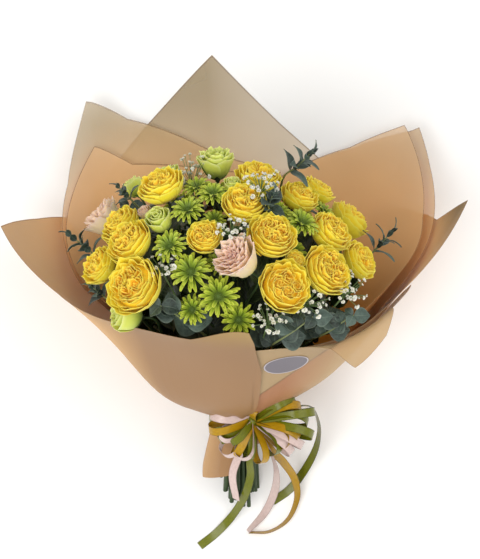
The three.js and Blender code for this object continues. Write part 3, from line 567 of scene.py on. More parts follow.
class Bench:
    """Gathers the shaped parts of one piece, each with its UV map, tones and finish."""

    def __init__(self) -> None:
        """Starts with nothing on the bench."""
        self.parts: list[Part] = []

    def add(
        self,
        points: np.ndarray,
        faces: list,
        uv: np.ndarray,
        tone: tuple,
        finish: int = 0,
        closed: bool = False,
    ) -> None:
        """Adds one shaped part.

        Args:
            points: its points, in the layout's millimetres.
            faces: its faces as lists of point numbers.
            uv: its UV map, one row a point.
            tone: four values or arrays of values for the tone attribute.
            finish: which of the piece's finishes it has.
            closed: whether it has an inside, so that it needs no thickness.
        """
        tones = np.stack([np.broadcast_to(np.asarray(t, float), (len(points),)) for t in tone], axis=1)
        self.parts.append(Part(points, faces, uv, tones, finish, closed))

    def panel(self, panel: Panel, points: np.ndarray, tone: tuple, finish: int = 0) -> None:
        """Adds a shaped grid with its own UV map."""
        self.add(points, panel.faces, np.stack([panel.u / 2 + 0.5, panel.v], axis=1), tone, finish)

    def tube(
        self, line: np.ndarray, radii: np.ndarray | float, sides: int, tone: tuple, finish: int = 0
    ) -> None:
        """Adds a round stalk along a line, closed at both ends.

        Args:
            line: the points of its middle.
            radii: its radius, or one for each point.
            sides: how many faces go round it.
            tone: the tone attribute's values.
            finish: which of the piece's finishes it has.
        """
        tangents = np.gradient(line, axis=0)
        tangents /= np.linalg.norm(tangents, axis=1)[:, None]
        aside = np.cross(tangents[0], [0.0, 0.0, 1.0])
        if np.linalg.norm(aside) < 0.1:
            aside = np.cross(tangents[0], [0.0, 1.0, 0.0])
        radii = np.broadcast_to(np.asarray(radii, float), (len(line),))
        turns = np.arange(sides) * 2 * np.pi / sides
        rings = []
        for place, tangent, radius in zip(line, tangents, radii):
            aside = aside - tangent * aside.dot(tangent)
            aside /= np.linalg.norm(aside)
            other = np.cross(tangent, aside)
            rings.append(place + radius * (np.cos(turns)[:, None] * aside + np.sin(turns)[:, None] * other))
        points = np.concatenate([*rings, line[:1], line[-1:]])
        steps = len(line)
        faces = [
            [i + j, i + (j + 1) % sides, i + sides + (j + 1) % sides, i + sides + j]
            for i in range(0, (steps - 1) * sides, sides)
            for j in range(sides)
        ]
        first, last, top = steps * sides, steps * sides + 1, (steps - 1) * sides
        faces += [[first, (j + 1) % sides, j] for j in range(sides)]
        faces += [[last, top + j, top + (j + 1) % sides] for j in range(sides)]
        length = np.concatenate([[0], np.cumsum(np.linalg.norm(np.diff(line, axis=0), axis=1))])
        uv = np.stack([np.tile(np.arange(sides) / sides, steps), np.repeat(length / UV_LENGTH, sides)], axis=1)
        self.add(points, faces, np.concatenate([uv, [[0.5, 0], [0.5, 0]]]), tone, finish, True)

    def ball(self, ball: Ball, points: np.ndarray, tone: tuple, finish: int = 0) -> None:
        """Adds a shaped ball, with its UV map laid down on it from above."""
        self.add(points, ball.faces, ball.points[:, :2] * 0.5 + 0.5, tone, finish, True)

    def mesh(self, name: str, parts: list[Part], finishes: list[bpy.types.Material]) -> bpy.types.Object:
        """Makes an object of some of the parts, in the frame.

        Args:
            name: the object's name.
            parts: the parts.
            finishes: the piece's materials, in the order that the parts name them.

        Returns:
            The object.
        """
        mesh = bpy.data.meshes.new(name)
        points = (np.concatenate([part.points for part in parts]) + np.array(SHIFT)) / 1000
        starts = np.cumsum([0, *[len(part.points) for part in parts]])
        faces = [[i + int(start) for i in face] for part, start in zip(parts, starts) for face in part.faces]
        mesh.from_pydata(points.tolist(), [], faces)
        for finish in finishes:
            mesh.materials.append(finish)
        mesh.polygons.foreach_set("material_index", [part.finish for part in parts for _ in part.faces])
        corners = np.zeros(len(mesh.loops), int)
        mesh.loops.foreach_get("vertex_index", corners)
        layer = mesh.uv_layers.new(name="surface")
        layer.data.foreach_set("uv", np.concatenate([part.uv for part in parts])[corners].ravel())
        tones = mesh.attributes.new("tone", "FLOAT_COLOR", "POINT")
        tones.data.foreach_set("color", np.concatenate([part.tone for part in parts]).ravel())
        made = bpy.data.objects.new(name, mesh)
        bpy.context.scene.collection.objects.link(made)
        return made

    def piece(
        self, name: str, finishes: list[bpy.types.Material], thick: float = 0.0, seamed: bool = False
    ) -> bpy.types.Object:
        """Joins everything on the bench into one piece in the frame.

        Args:
            name: the piece's name.
            finishes: its materials, in the order that the parts name them.
            thick: in millimetres, for parts that are open sheets.
            seamed: whether a sheet's sides meet in a seam, which is closed before it gets its thickness.

        Returns:
            The piece.
        """
        closed = [part for part in self.parts if part.closed or not thick]
        sheets = [part for part in self.parts if not (part.closed or not thick)]
        made = [self.mesh(name, parts, finishes) for parts in (sheets, closed) if parts]
        piece = made[0]
        if sheets:
            if seamed:
                seam = piece.modifiers.new("seam", "WELD")
                seam.merge_threshold = SEAM
            wall = piece.modifiers.new("thickness", "SOLIDIFY")
            wall.thickness = thick / 1000
            wall.offset = 0
            apply_modifiers(piece)
        clear_selection()
        for thing in made:
            thing.select_set(True)
        bpy.context.view_layer.objects.active = piece
        if len(made) > 1:
            bpy.ops.object.join()
        bpy.ops.object.shade_smooth_by_angle(angle=CREASE_ANGLE)
        return piece


def hand_over(piece: bpy.types.Object, slot: str, *nodes: str) -> None:
    """Parents a finished piece to the frame's root, hides the CAD nodes that it replaces, and logs its faces.

    Args:
        piece: the piece.
        slot: the record's material slot; not used.
        nodes: the CAD nodes that it replaces.
    """
    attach(piece, "root")
    if nodes:
        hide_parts(*nodes)
    log.info("%s: %d faces", piece.name, len(piece.data.polygons))


def spline(points: np.ndarray, share: np.ndarray, closed: bool = False) -> np.ndarray:
    """A smooth line through points, as the part's source draws it.

    Args:
        points: one row a point, or one row a point for each of the shares.
        share: how far along, from 0 to 1, counted in spans.
        closed: whether the line comes back to its start.

    Returns:
        One point for each share.
    """
    count = len(points)
    if points.ndim == 2:
        points = np.repeat(points[:, None, :], len(share), axis=1)
    each = np.arange(len(share))
    where = share * (count if closed else count - 1)
    span = np.floor(where).astype(int)
    if not closed:
        span = np.clip(span, 0, count - 2)
    weight = (where - span)[:, None]
    near = [(span + k) % count if closed else np.clip(span + k, 0, count - 1) for k in (-1, 0, 1, 2)]
    before, start, end, after = (points[rows, each] for rows in near)
    if not closed:
        before = np.where((span > 0)[:, None], before, 2 * points[0] - points[1])
        after = np.where((span + 2 < count)[:, None], after, 2 * points[-1] - points[-2])
    pairs = ((before, start), (start, end), (end, after))
    gaps = [np.sqrt(np.linalg.norm(b - a, axis=1))[:, None] for a, b in pairs]
    one = np.where(gaps[1] < 1e-4, 1.0, gaps[1])
    nought, two = np.where(gaps[0] < 1e-4, one, gaps[0]), np.where(gaps[2] < 1e-4, one, gaps[2])
    leave = ((start - before) / nought - (end - before) / (nought + one) + (end - start) / one) * one
    arrive = ((end - start) / one - (after - start) / (one + two) + (after - end) / two) * one
    square, cube = weight**2, weight**3
    return (
        start
        + leave * weight
        + (-3 * start + 3 * end - 2 * leave - arrive) * square
        + (2 * start - 2 * end + leave + arrive) * cube
    )


def line_through(points: list[Vector], steps: int) -> np.ndarray:
    """A smooth line through a few points, as many steps as asked."""
    return spline(np.array([p[:] for p in points]), np.linspace(0, 1, steps + 1))


def standing(place: Vector, facing: Vector, spin: float = 0.0) -> Matrix:
    """The move that stands a shape built round +Z at a place, facing a direction."""
    turned = UP.rotation_difference(facing).to_matrix().to_4x4()
    return Matrix.Translation(place) @ turned @ Matrix.Rotation(spin, 4, "Z")


def moved(points: np.ndarray, move: Matrix) -> np.ndarray:
    """Points after a move."""
    return points @ np.array(move.to_3x3()).T + np.array(move.translation)


# ---- where the heads and stems are ----
class Kind(Enum):
    """Kinds of head: the nodes' name, the base's depth by the half width, and half the room by the width."""

    ROSE = ("rose", 0.66, 0.5)
    LIME = ("lisianthus_lime", 0.85, 0.44)
    BLUSH = ("lisianthus_blush", 0.85, 0.44)
    DAISY = ("chrysanthemum", 0.42, 0.44)


@dataclass
class Head:
    """One flower head: its kind, place across and along, width, depth under the dome, spray and own lean."""

    kind: Kind
    x: float
    y: float
    width: float
    sink: float
    spray: str
    lean: tuple[float, float] | None = None
    low: bool = False
    name: str = ""
    place: Vector = field(default_factory=Vector)
    facing: Vector = field(default_factory=Vector)

    @property
    def size(self) -> float:
        """Half its width."""
        return self.width / 2

    @property
    def base(self) -> Vector:
        """Where its stalk meets it."""
        return self.place - self.facing * self.kind.value[1] * self.size


ROSE, LIME, BLUSH, DAISY = Kind.ROSE, Kind.LIME, Kind.BLUSH, Kind.DAISY
HEADS = [
    Head(ROSE, -79, 118, 49, 2, "a"),
    Head(ROSE, -117, 91, 45, 6, "a"),
    Head(ROSE, -104, 64, 49, 2, "b"),
    Head(ROSE, -149, 41, 42, 2, "b"),
    Head(ROSE, -110, 22, 60, 2, "b"),
    Head(ROSE, 9, 105, 48, 4, "c"),
    Head(ROSE, 27, 139, 47, 4, "c"),
    Head(ROSE, -31, 70, 37, 10, "d"),
    Head(ROSE, 35, 66, 51, 3, "d"),
    Head(ROSE, 63, 48, 22, 6, "d"),
    Head(ROSE, 55, 21, 54, 0, "d"),
    Head(ROSE, 98, 36, 53, 2, "e"),
    Head(ROSE, 139, 47, 42, 2, "e"),
    Head(ROSE, 105, 79, 47, 4, "e"),
    Head(ROSE, 131, 94, 47, 4, "e"),
    Head(ROSE, 71, 116, 40, 6, "c"),
    Head(ROSE, 95, 127, 36, 4, "c"),
    Head(LIME, -20, 158, 47, 0, "f"),
    Head(LIME, -75, 143, 40, 4, "g"),
    Head(LIME, -116, 134, 32, 4, "g"),
    Head(LIME, -2, 132, 24, 2, "f"),
    Head(LIME, -82, 88, 36, 4, "h"),
    Head(LIME, -118, -4, 47, 12, "i", (-0.9, 0.1)),
    Head(BLUSH, -149, 96, 49, 8, "j"),
    Head(BLUSH, 9, 50, 53, 2, "k", (-0.8, 0.25)),
    Head(BLUSH, -99, 104, 21, 6, "j"),
    Head(DAISY, -59, 100, 40, 6, "l"),
    Head(DAISY, -45, 126, 36, 8, "l"),
    Head(DAISY, -24, 119, 36, 6, "l"),
    Head(DAISY, -24, 94, 30, 14, "l"),
    Head(DAISY, -62, 56, 42, 10, "m"),
    Head(DAISY, -46, 36, 47, 12, "m"),
    Head(DAISY, -19, 14, 47, 12, "m"),
    Head(DAISY, 2, -14, 40, 26, "n"),
    Head(DAISY, -45, -6, 36, 24, "n"),
    Head(DAISY, -16, 48, 32, 26, "n"),
    Head(DAISY, 71, 86, 40, 8, "o"),
    Head(DAISY, 54, 100, 34, 14, "o"),
    Head(DAISY, 67, 62, 34, 22, "o"),
    Head(DAISY, 100, 104, 32, 14, "o"),
    Head(DAISY, -64, 116, 42, 6, "p", low=True),
    Head(DAISY, -20, 128, 44, 2, "p", low=True),
    Head(DAISY, 30, 126, 42, 4, "p", low=True),
    Head(DAISY, 76, 104, 40, 4, "p", low=True),
]


def settle(places: list[Vector], rooms: list[float], rounds: int = 60) -> None:
    """Presses things that would touch a little apart, as the part's source does.

    Args:
        places: their places, which are changed.
        rooms: the room that each needs.
        rounds: how many times each pair is looked at.
    """
    for _ in range(rounds):
        for i, a in enumerate(places):
            for j in range(i + 1, len(places)):
                between = places[j] - a
                short = rooms[i] + rooms[j] + GAP - between.length
                if short > 0:
                    between.normalize()
                    a -= between * (0.5 * short)
                    places[j] += between * (0.5 * short)


def place_heads() -> None:
    """Stands the heads on the dome and names them as the frame's nodes are named."""
    counts: dict[Kind, int] = {}
    for head in HEADS:
        counts[head.kind] = counts.get(head.kind, 0) + 1
        head.name = f"{head.kind.value[0]}_{counts[head.kind]:02d}"
        flat = Vector((head.x - DOME_CENTRE.x, head.y - DOME_CENTRE.y, 0))
        rise = math.sqrt(max((DOME_RADIUS - head.sink) ** 2 - flat.length_squared, 0))
        head.place = Vector((head.x, head.y, DOME_CENTRE.z + (-rise if head.low else rise)))
    settle([h.place for h in HEADS], [h.kind.value[2] * h.width for h in HEADS])
    for head in HEADS:
        head.facing = (head.place - FOCUS).normalized()
        if head.lean:
            head.facing = (head.facing + Vector((*head.lean, 0))).normalized()


# ---- petals ----
@dataclass(frozen=True)
class Whorl:
    """One round of petals, in shares of the head's half width."""

    count: int
    out: tuple[float, float, float, float]  # how far the petal's middle line stands from the axis, foot to tip
    up: tuple[float, float, float, float]  # how high it lies at the same four points
    width: float  # half the petal's width at its widest
    heart: float = 0.0
    foot: float = 0.35
    tip: float = 0.22
    ruffle: float = 0.03
    waves: float = 2.5
    drift: float = 0.05  # how far its petals differ in reach and height
    lap: float = 0.04  # how far a petal's one side lies outside its other side
    ragged: float = 0.03
    across: int = 8
    along: int = 6

    def petal(self, size: float, chance: Chance) -> tuple[Panel, np.ndarray, tuple]:
        """Shapes one petal of the round, facing +X from the axis.

        Args:
            size: the head's half width.
            chance: the source of small differences.

        Returns:
            The panel, its points and its tones.
        """
        panel = panel_of(self.across, self.along)
        u, v = panel.u, panel.v
        tooth = np.sin(5 * u + chance.uniform(0, ANY_TURN))
        ragged = self.ragged * (1 + tooth * np.cos(3 * u + chance.uniform(0, ANY_TURN)))
        reach = v * (1 - self.tip * np.abs(u) ** 3 - ragged * v**2)
        left = 1 - reach
        line = np.array([self.out, self.up]) * (1 + chance.uniform(-self.drift, self.drift))
        line[1, 2:] += chance.uniform(-self.drift, self.drift) * 0.8
        weights = (left**3, 3 * left**2 * reach, 3 * left * reach**2, reach**3)
        radius, height = (sum(weight * end for weight, end in zip(weights, ends)) for ends in line)
        half = self.width * (self.foot + (1 - self.foot) * np.sin(np.minimum(reach / 0.75, 1) * np.pi / 2))
        turn = np.clip(u * half / np.maximum(radius, 0.1), -2.4, 2.4) + 0.05 * u
        swing = np.sin(self.waves * np.pi * u + chance.uniform(0, ANY_TURN))
        ripple = np.sin(2.3 * self.waves * np.pi * u + chance.uniform(0, ANY_TURN))
        wave = (swing + 0.5 * ripple) * self.ruffle * v**3
        radius = radius + wave + self.lap * u * v
        height = height + 0.8 * wave + chance.uniform(-0.03, 0.03)
        points = size * np.stack([radius * np.cos(turn), radius * np.sin(turn), height], axis=1)
        rim = np.clip(np.maximum(v, np.abs(u) * v**0.5) * 6 - 5, 0, 1)
        return panel, points, (v, self.heart, chance.uniform(), rim * (1 - 0.35 * self.heart))


@dataclass(frozen=True)
class BloomForm:
    """A head's form: its rounds of petals, its folded inner clusters and its sepals."""

    whorls: tuple[Whorl, ...]
    clusters: int = 0
    cluster: tuple[Whorl, ...] = ()
    cluster_out: float = 0.3
    sepals: int = 5
    cup: tuple[float, float] = (-0.62, 0.16)  # the green cup's height and radius
    core: tuple[float, float, float] | None = None  # packed petals: half width, half height, place

    def build(self, bench: Bench, size: float, move: Matrix, chance: Chance) -> None:
        """Adds the head to a bench.

        Args:
            bench: where it goes. Its petals have finish 0, and its sepals and cup finish 1.
            size: the head's half width.
            move: where it stands.
            chance: the source of small differences.
        """
        for whorl in self.whorls:
            start = chance.uniform(0, ANY_TURN)
            for k in range(whorl.count):
                panel, points, tone = whorl.petal(size, chance)
                spin = start + (k + chance.uniform(-0.12, 0.12)) * 2 * math.pi / whorl.count
                bench.panel(panel, moved(points, move @ Matrix.Rotation(spin, 4, "Z")), tone)
        first = chance.uniform(0, ANY_TURN)
        for c in range(self.clusters):
            around = first + c * 2 * math.pi / self.clusters
            out = size * self.cluster_out * chance.uniform(0.85, 1.15)
            seat = Matrix.Translation((out * math.cos(around), out * math.sin(around), 0))
            for whorl in self.cluster:
                for k in range(whorl.count):
                    panel, points, tone = whorl.petal(size, chance)
                    spin = around + (k + chance.uniform(-0.3, 0.3)) * 2 * math.pi / whorl.count
                    bench.panel(panel, moved(points, move @ seat @ Matrix.Rotation(spin, 4, "Z")), tone)
        if self.core:
            wide, high, up = self.core
            ball = ball_of(3)
            points = size * (ball.points * [wide, wide, high] + [0, 0, up])
            bench.ball(ball, moved(points, move), (0.7, 0.35, 0.5, 0))
        self.green(bench, size, move, chance)

    def green(self, bench: Bench, size: float, move: Matrix, chance: Chance) -> None:
        """Adds the green cup and the sepals under the petals.

        Args:
            bench: where they go, with finish 1.
            size: the head's half width.
            move: where the head stands.
            chance: the source of small differences.
        """
        height, radius = self.cup
        cup = np.array([[0, 0, height + step] for step in (-0.16, -0.05, 0.1, 0.2)])
        line = moved(size * cup, move)
        bench.tube(line, size * np.array([0.5, 1.0, 1.1, 0.7]) * radius, 8, PLAIN, 1)
        panel = panel_of(4, 5)
        for k in range(self.sepals):
            v = panel.v
            half = 0.13 * np.sin(np.pi * np.clip(v * 0.9 + 0.1, 0, 1)) ** 0.8
            out = radius + 0.5 * v - 0.1 * v**2
            up = height + 0.03 + 0.5 * v**1.6 * chance.uniform(0.2, 1.0)
            points = size * np.stack([out, panel.u * half, up + 0.05 * panel.u**2], axis=1)
            spin = (k + 0.3) * 2 * math.pi / self.sepals
            tone = (v, 0, chance.uniform(), 0)
            bench.panel(panel, moved(points, move @ Matrix.Rotation(spin, 4, "Z")), tone, 1)


ROSE_FORM = BloomForm(
    whorls=(
        Whorl(5, (0.1, 1.0, 1.02, 1.12), (-0.66, -0.6, 0.02, 0.22), 0.8, ruffle=0.04, across=12, along=8),
        Whorl(5, (0.08, 0.92, 0.92, 0.98), (-0.6, -0.5, 0.12, 0.38), 0.7, 0.05, 0.35, 0.25, 0.05, 2.0, 0.08),
        Whorl(6, (0.06, 0.8, 0.76, 0.82), (-0.5, -0.4, 0.22, 0.48), 0.56, 0.15, 0.35, 0.25, 0.05, 2.4, 0.1),
        Whorl(6, (0.06, 0.66, 0.6, 0.66), (-0.4, -0.3, 0.28, 0.55), 0.48, 0.35, 0.35, 0.2, 0.05, 2.6, 0.1, 0.08),
    ),
    clusters=5,
    cluster=(
        Whorl(3, (0.02, 0.27, 0.24, 0.29), (-0.2, -0.1, 0.3, 0.62), 0.34, 0.55, 0.5, 0.15, 0.035, 3, 0.1, 0.06),
        Whorl(3, (0.02, 0.17, 0.15, 0.2), (-0.1, 0.0, 0.3, 0.62), 0.25, 0.75, 0.5, 0.15, 0.03, 3, 0.1, 0.06),
        Whorl(2, (0.02, 0.08, 0.07, 0.1), (0, 0.1, 0.3, 0.6), 0.14, 0.9, 0.6, 0.1, 0.02, 2, 0.1, 0.04, 0.03, 6, 3),
    ),
    cluster_out=0.36,
    core=(0.84, 0.5, -0.1),
)
CUP_FORM = BloomForm(
    whorls=(
        Whorl(4, (0.06, 0.62, 0.74, 0.98), (-0.85, -0.8, 0.0, 0.38), 0.78, ruffle=0.045, across=12, along=10),
        Whorl(4, (0.05, 0.56, 0.6, 0.8), (-0.8, -0.7, 0.1, 0.52), 0.64, 0.15, ruffle=0.06, across=12, along=9),
        Whorl(4, (0.04, 0.46, 0.42, 0.6), (-0.7, -0.6, 0.15, 0.6), 0.52, 0.4, ruffle=0.07, across=12, along=8),
        Whorl(4, (0.03, 0.3, 0.24, 0.36), (-0.6, -0.5, 0.2, 0.58), 0.38, 0.65, ruffle=0.07, across=10, along=6),
        Whorl(3, (0.02, 0.14, 0.12, 0.16), (-0.5, -0.4, 0.2, 0.5), 0.24, 0.8, ruffle=0.04, across=8, along=5),
    ),
    cup=(-0.86, 0.13),
)
WAVED = [replace(w, ruffle=1.6 * w.ruffle, waves=3.4, tip=0.06, drift=0.08) for w in CUP_FORM.whorls]
BLUSH_FORM = replace(CUP_FORM, whorls=tuple(WAVED))
BUD_FORM = BloomForm(
    whorls=(
        Whorl(3, (0.06, 0.86, 0.7, 0.8), (-0.85, -0.8, 0.15, 0.4), 0.95, ruffle=0.03, across=12, along=9),
        Whorl(3, (0.05, 0.72, 0.46, 0.56), (-0.8, -0.7, 0.2, 0.52), 0.78, 0.1, ruffle=0.04, across=12, along=9),
        Whorl(3, (0.04, 0.48, 0.28, 0.36), (-0.7, -0.6, 0.25, 0.56), 0.5, 0.3, ruffle=0.04, across=10, along=7),
        Whorl(3, (0.03, 0.26, 0.12, 0.18), (-0.6, -0.5, 0.3, 0.55), 0.3, 0.5, ruffle=0.03, across=8, along=6),
    ),
    cup=(-0.86, 0.16),
)

# A waxed leaf has soft wide highlights over a deep green.
LEAF_GREEN = LeafFinish("rose leaf, waxy green skin", 0.42, "141D0E", "2C3D1A", "54652E", 0.3)
# A stalk is a little duller, and its long streaks make it look fibrous.
STALK_GREEN = StalkFinish("cut green stalk", 0.5, "15240E", "40582A")


@dataclass
class Blooms:
    """The roses and the lisianthus, one piece a head."""

    # Petals are matt, and the light that goes through them makes their folds glow.
    rose: PetalFinish = PetalFinish(
        "garden rose petal, lemon yellow", 0.55, "E4B01C", "F8E02C", "FCEE5C", "F8B430"
    )
    lime: PetalFinish = PetalFinish(
        "lisianthus petal, lime", 0.5, "7C982C", "D4DC5A", "E8EC96", "BCCB4A", veins=30, glow=0.25
    )
    blush: PetalFinish = PetalFinish(
        "lisianthus petal, peach pink", 0.5, "E4DC92", "F5D9B0", "F6D8C8", "E3A08F", veins=30, glow=0.25
    )
    petal_thick: float = 0.35

    def form(self, head: Head, number: int) -> BloomForm:
        """Chooses a head's form: the roses have three to five quarters, and a small lisianthus is still a bud.

        Args:
            head: the head.
            number: its place among the heads, from 0.

        Returns:
            The form.
        """
        if head.kind is ROSE:
            return replace(ROSE_FORM, clusters=3 + number % 3, cluster_out=0.3 + 0.03 * (number % 3))
        if head.width < 41 or (head.lean and head.kind is LIME):
            return BUD_FORM
        return BLUSH_FORM if head.kind is BLUSH else CUP_FORM

    def build(self) -> None:
        """Builds a piece for every rose and lisianthus."""
        finishes = {ROSE: self.rose.make(), LIME: self.lime.make(), BLUSH: self.blush.make()}
        leaf = LEAF_GREEN.make()
        for number, head in enumerate(h for h in HEADS if h.kind is not DAISY):
            bench = Bench()
            chance = np.random.default_rng(100 + number)
            move = standing(head.place, head.facing, number * GOLDEN)
            self.form(head, number).build(bench, head.size, move, chance)
            piece = bench.piece(f"{head.name}_bloom", [finishes[head.kind], leaf], self.petal_thick)
            hand_over(piece, head.kind.value[0], head.name)


@dataclass
class Daisies:
    """The spray chrysanthemums: heads of channelled ray petals round a green disc, on their own stalks."""

    # Ray petals are firmer and more opaque than a rose's, so they glow less.
    petal: PetalFinish = PetalFinish(
        "chrysanthemum ray petal, lime", 0.5, "526A0E", "94AA16", "BCC640", "70861A", veins=12, glow=0.14
    )
    disc: PetalFinish = PetalFinish(
        "chrysanthemum disc florets", 0.6, "4A6612", "6E8A1E", "8FA236", "46601A", veins=8, glow=0.1
    )
    rounds: tuple[tuple[int, float, float, float], ...] = (  # petals, reach, lift at the tip, heart
        (16, 1.03, -0.04, 0.0),
        (13, 0.9, 0.18, 0.1),
        (9, 0.66, 0.36, 0.25),
    )
    petal_thick: float = 0.5
    half_width: float = 0.094
    disc_florets: int = 60
    leaf: tuple[float, float] = (26, 15)  # length and width

    def head(self, bench: Bench, head: Head, chance: Chance, bead: Ball) -> None:
        """Adds one head: its rounds of petals and its disc.

        Args:
            bench: where it goes.
            head: the head.
            chance: the source of small differences.
            bead: the ball that the disc's florets are shaped from.
        """
        move = standing(head.place, head.facing, chance.uniform(0, ANY_TURN))
        panel = panel_of(6, 6)
        u, v = panel.u, panel.v
        for count, reach, lift, heart in self.rounds:
            for k in range(count):
                length = reach * chance.uniform(0.88, 1.06)
                share = v * (1 - 0.15 * np.abs(u) ** 2.5 - 0.02 * v * np.cos(2 * np.pi * u))
                half = self.half_width * (0.4 + 0.6 * np.sin(np.pi * np.clip(0.10 + 0.68 * v, 0, 1)))
                out = 0.12 + (length - 0.12) * share
                rise = lift + 0.12 + chance.uniform(-0.08, 0.08)
                up = -0.12 + rise * share**0.8 + 0.10 * np.sin(np.pi * share)
                channel = 0.07 * u**2 * (0.4 + share) - 0.018 * np.cos(2 * np.pi * u) * np.sin(np.pi * share)
                aside = u * half + 0.04 * share * chance.uniform(-1, 1)
                points = head.size * np.stack([out, aside, up + channel], axis=1)
                spin = (k + chance.uniform(-0.2, 0.2)) * 2 * math.pi / count
                tone = (v, heart, chance.uniform(), np.clip(v * 2.2 - 1.2, 0, 1))
                bench.panel(panel, moved(points, move @ Matrix.Rotation(spin, 4, "Z")), tone)
        for k in range(self.disc_florets):
            out = 0.23 * math.sqrt((k + 0.5) / self.disc_florets)
            turn = GOLDEN * k
            centre = np.array([out * math.cos(turn), out * math.sin(turn), 0.1 - 1.2 * out**2])
            points = head.size * (bead.points * [0.026, 0.026, 0.045] + centre)
            tone = (0.6, max(0.0, 1 - 4 * out), chance.uniform(), 0.2)
            bench.ball(bead, moved(points, move), tone, 1)
        button = head.size * (bead.points * [0.24, 0.24, 0.16] + np.array([0, 0, -0.03]))
        bench.ball(bead, moved(button, move), (0.4, 0.8, 0.5, 0), 1)
        cup = moved(head.size * np.array([[0, 0, up] for up in (-0.42, -0.3, -0.16, -0.1)]), move)
        bench.tube(cup, head.size * np.array([0.08, 0.2, 0.28, 0.2]), 10, PLAIN, 2)

    def build(self, stems: "Stems") -> None:
        """Builds one piece a spray.

        Args:
            stems: gives the sprays' stalks.
        """
        finishes = [self.petal.make(), self.disc.make(), STALK_GREEN.make(), LEAF_GREEN.make()]
        bead = ball_of(1)
        sprays = [trunk for trunk in stems.trunks if trunk.heads and trunk.heads[0].kind is DAISY]
        for number, trunk in enumerate(sprays, 1):
            heads, stalks = Bench(), Bench()
            chance = np.random.default_rng(300 + number)
            for head in trunk.heads:
                self.head(heads, head, chance, bead)
            for line, radius in stems.arms(trunk):
                stalks.tube(line, radius, 8, PLAIN, 2)
            for line, _ in stems.arms(trunk)[1:]:
                stems.leaf_on(stalks, line, 0.35, chance, self.leaf, 3)
            name = f"chrysanthemum_spray_{number}"
            hand_over(heads.piece(f"{name}_heads", finishes, self.petal_thick), "chrysanthemum", name)
            hand_over(stalks.piece(f"{name}_stalks", finishes, self.petal_thick), "chrysanthemum")


# ---- leaves and sprigs ----
def leaf_points(
    panel: Panel,
    foot: Vector,
    pointing: Vector,
    facing: Vector,
    size: tuple[float, float],
    curl: float,
    tip: float,
) -> np.ndarray:
    """Shapes a leaf: pointed, folded a little along its midrib and curled along its length.

    Args:
        panel: the grid to shape.
        foot: where it joins its stalk.
        pointing: the way that it grows.
        facing: the way that its upper side faces.
        size: its length from foot to tip, and its width at its widest.
        curl: how far its tip bends down, as a share of its length.
        tip: how pointed it is, from 0 for round to 1.5.

    Returns:
        Its points.
    """
    across = facing.cross(pointing).normalized()
    up = pointing.cross(across).normalized()
    length, width = size
    u, v = panel.u, panel.v
    full = np.sin(np.pi * v**0.8) ** (0.5 + 0.25 * tip)
    half = 0.5 * width * full * (1 - 0.25 * tip * v**3) + 0.014 * width
    lift = length * (0.10 * np.sin(np.pi * v) - curl * v**2) + 0.22 * np.abs(u) * half
    lift = lift + 0.03 * length * np.sin(7 * v + 2 * u) * np.abs(u)
    return (
        np.array(foot)
        + np.outer(0.4 + v * length, np.array(pointing))
        + np.outer(u * half, np.array(across))
        + np.outer(lift, np.array(up))
    )


def any_of(ranges: tuple, chance: Chance) -> tuple[float, ...]:
    """A value left to chance in each of some ranges."""
    return tuple(chance.uniform(*ends) for ends in ranges)


def leaf_tone(panel: Panel, chance: Chance) -> tuple:
    """A leaf's tones: the share along it, nothing, its own chance value, and its rim."""
    return panel.v, 0, chance.uniform(), np.clip(np.abs(panel.u) * 8 - 7, 0, 1)


@dataclass
class Trunk:
    """A stem: where it forks, its heads, and its place across the tie."""

    fork: Vector
    heads: list[Head]
    place: Vector = field(default_factory=Vector)


@dataclass(frozen=True)
class Sprig:
    """A twig of eucalyptus: its pairs of leaves, their size and the twig's route."""

    pairs: int
    length: float
    width: float
    route: tuple[tuple[float, float, float], ...]


@dataclass(frozen=True)
class Cloud:
    """A spray of gypsophila: the middle of its florets, how wide they spread and how many the solid has."""

    crown: tuple[float, float, float]
    reach: float
    florets: int

    def root(self) -> Vector:
        """Where its stem meets the bunch."""
        crown = Vector(self.crown)
        return crown - outward(crown) * 62


SPRIGS = [
    Sprig(3, 26, 13, ((50, 92, 176), (56, 142, 226), (70, 152, 240), (84, 166, 250))),
    Sprig(2, 24, 19, ((38, 84, 205), (34, 98, 262), (38, 108, 286), (42, 118, 292))),
    Sprig(3, 22, 15, ((-118, 14, 150), (-150, 46, 172), (-168, 62, 178), (-186, 76, 176))),
    Sprig(2, 18, 12, ((-86, 82, 160), (-112, 112, 186), (-122, 122, 190), (-130, 130, 192))),
    Sprig(2, 20, 14, ((-112, -12, 172), (-142, 4, 212), (-150, 11, 218), (-158, 17, 222))),
    Sprig(3, 38, 34, ((-32, -36, 240), (-52, -20, 284), (-66, -10, 294), (-80, -2, 298))),
    Sprig(3, 38, 34, ((34, -52, 236), (50, -40, 276), (68, -28, 286), (86, -14, 290))),
    Sprig(3, 33, 30, ((84, -42, 210), (104, -32, 244), (118, -22, 252), (132, -13, 256))),
    Sprig(3, 26, 9, ((122, 24, 140), (152, 52, 172), (166, 66, 180), (178, 80, 182))),
    Sprig(3, 36, 30, ((-60, 56, 96), (-96, 84, 92), (-112, 98, 88), (-124, 112, 84))),
]
CLOUDS = [
    Cloud((-52, 150, 212), 20, 8),
    Cloud((-82, 42, 302), 13, 5),
    Cloud((30, 134, 282), 13, 6),
    Cloud((-3, 84, 312), 12, 5),
    Cloud((82, 6, 300), 14, 6),
    Cloud((128, 17, 272), 13, 6),
    Cloud((38, -16, 308), 12, 5),
]


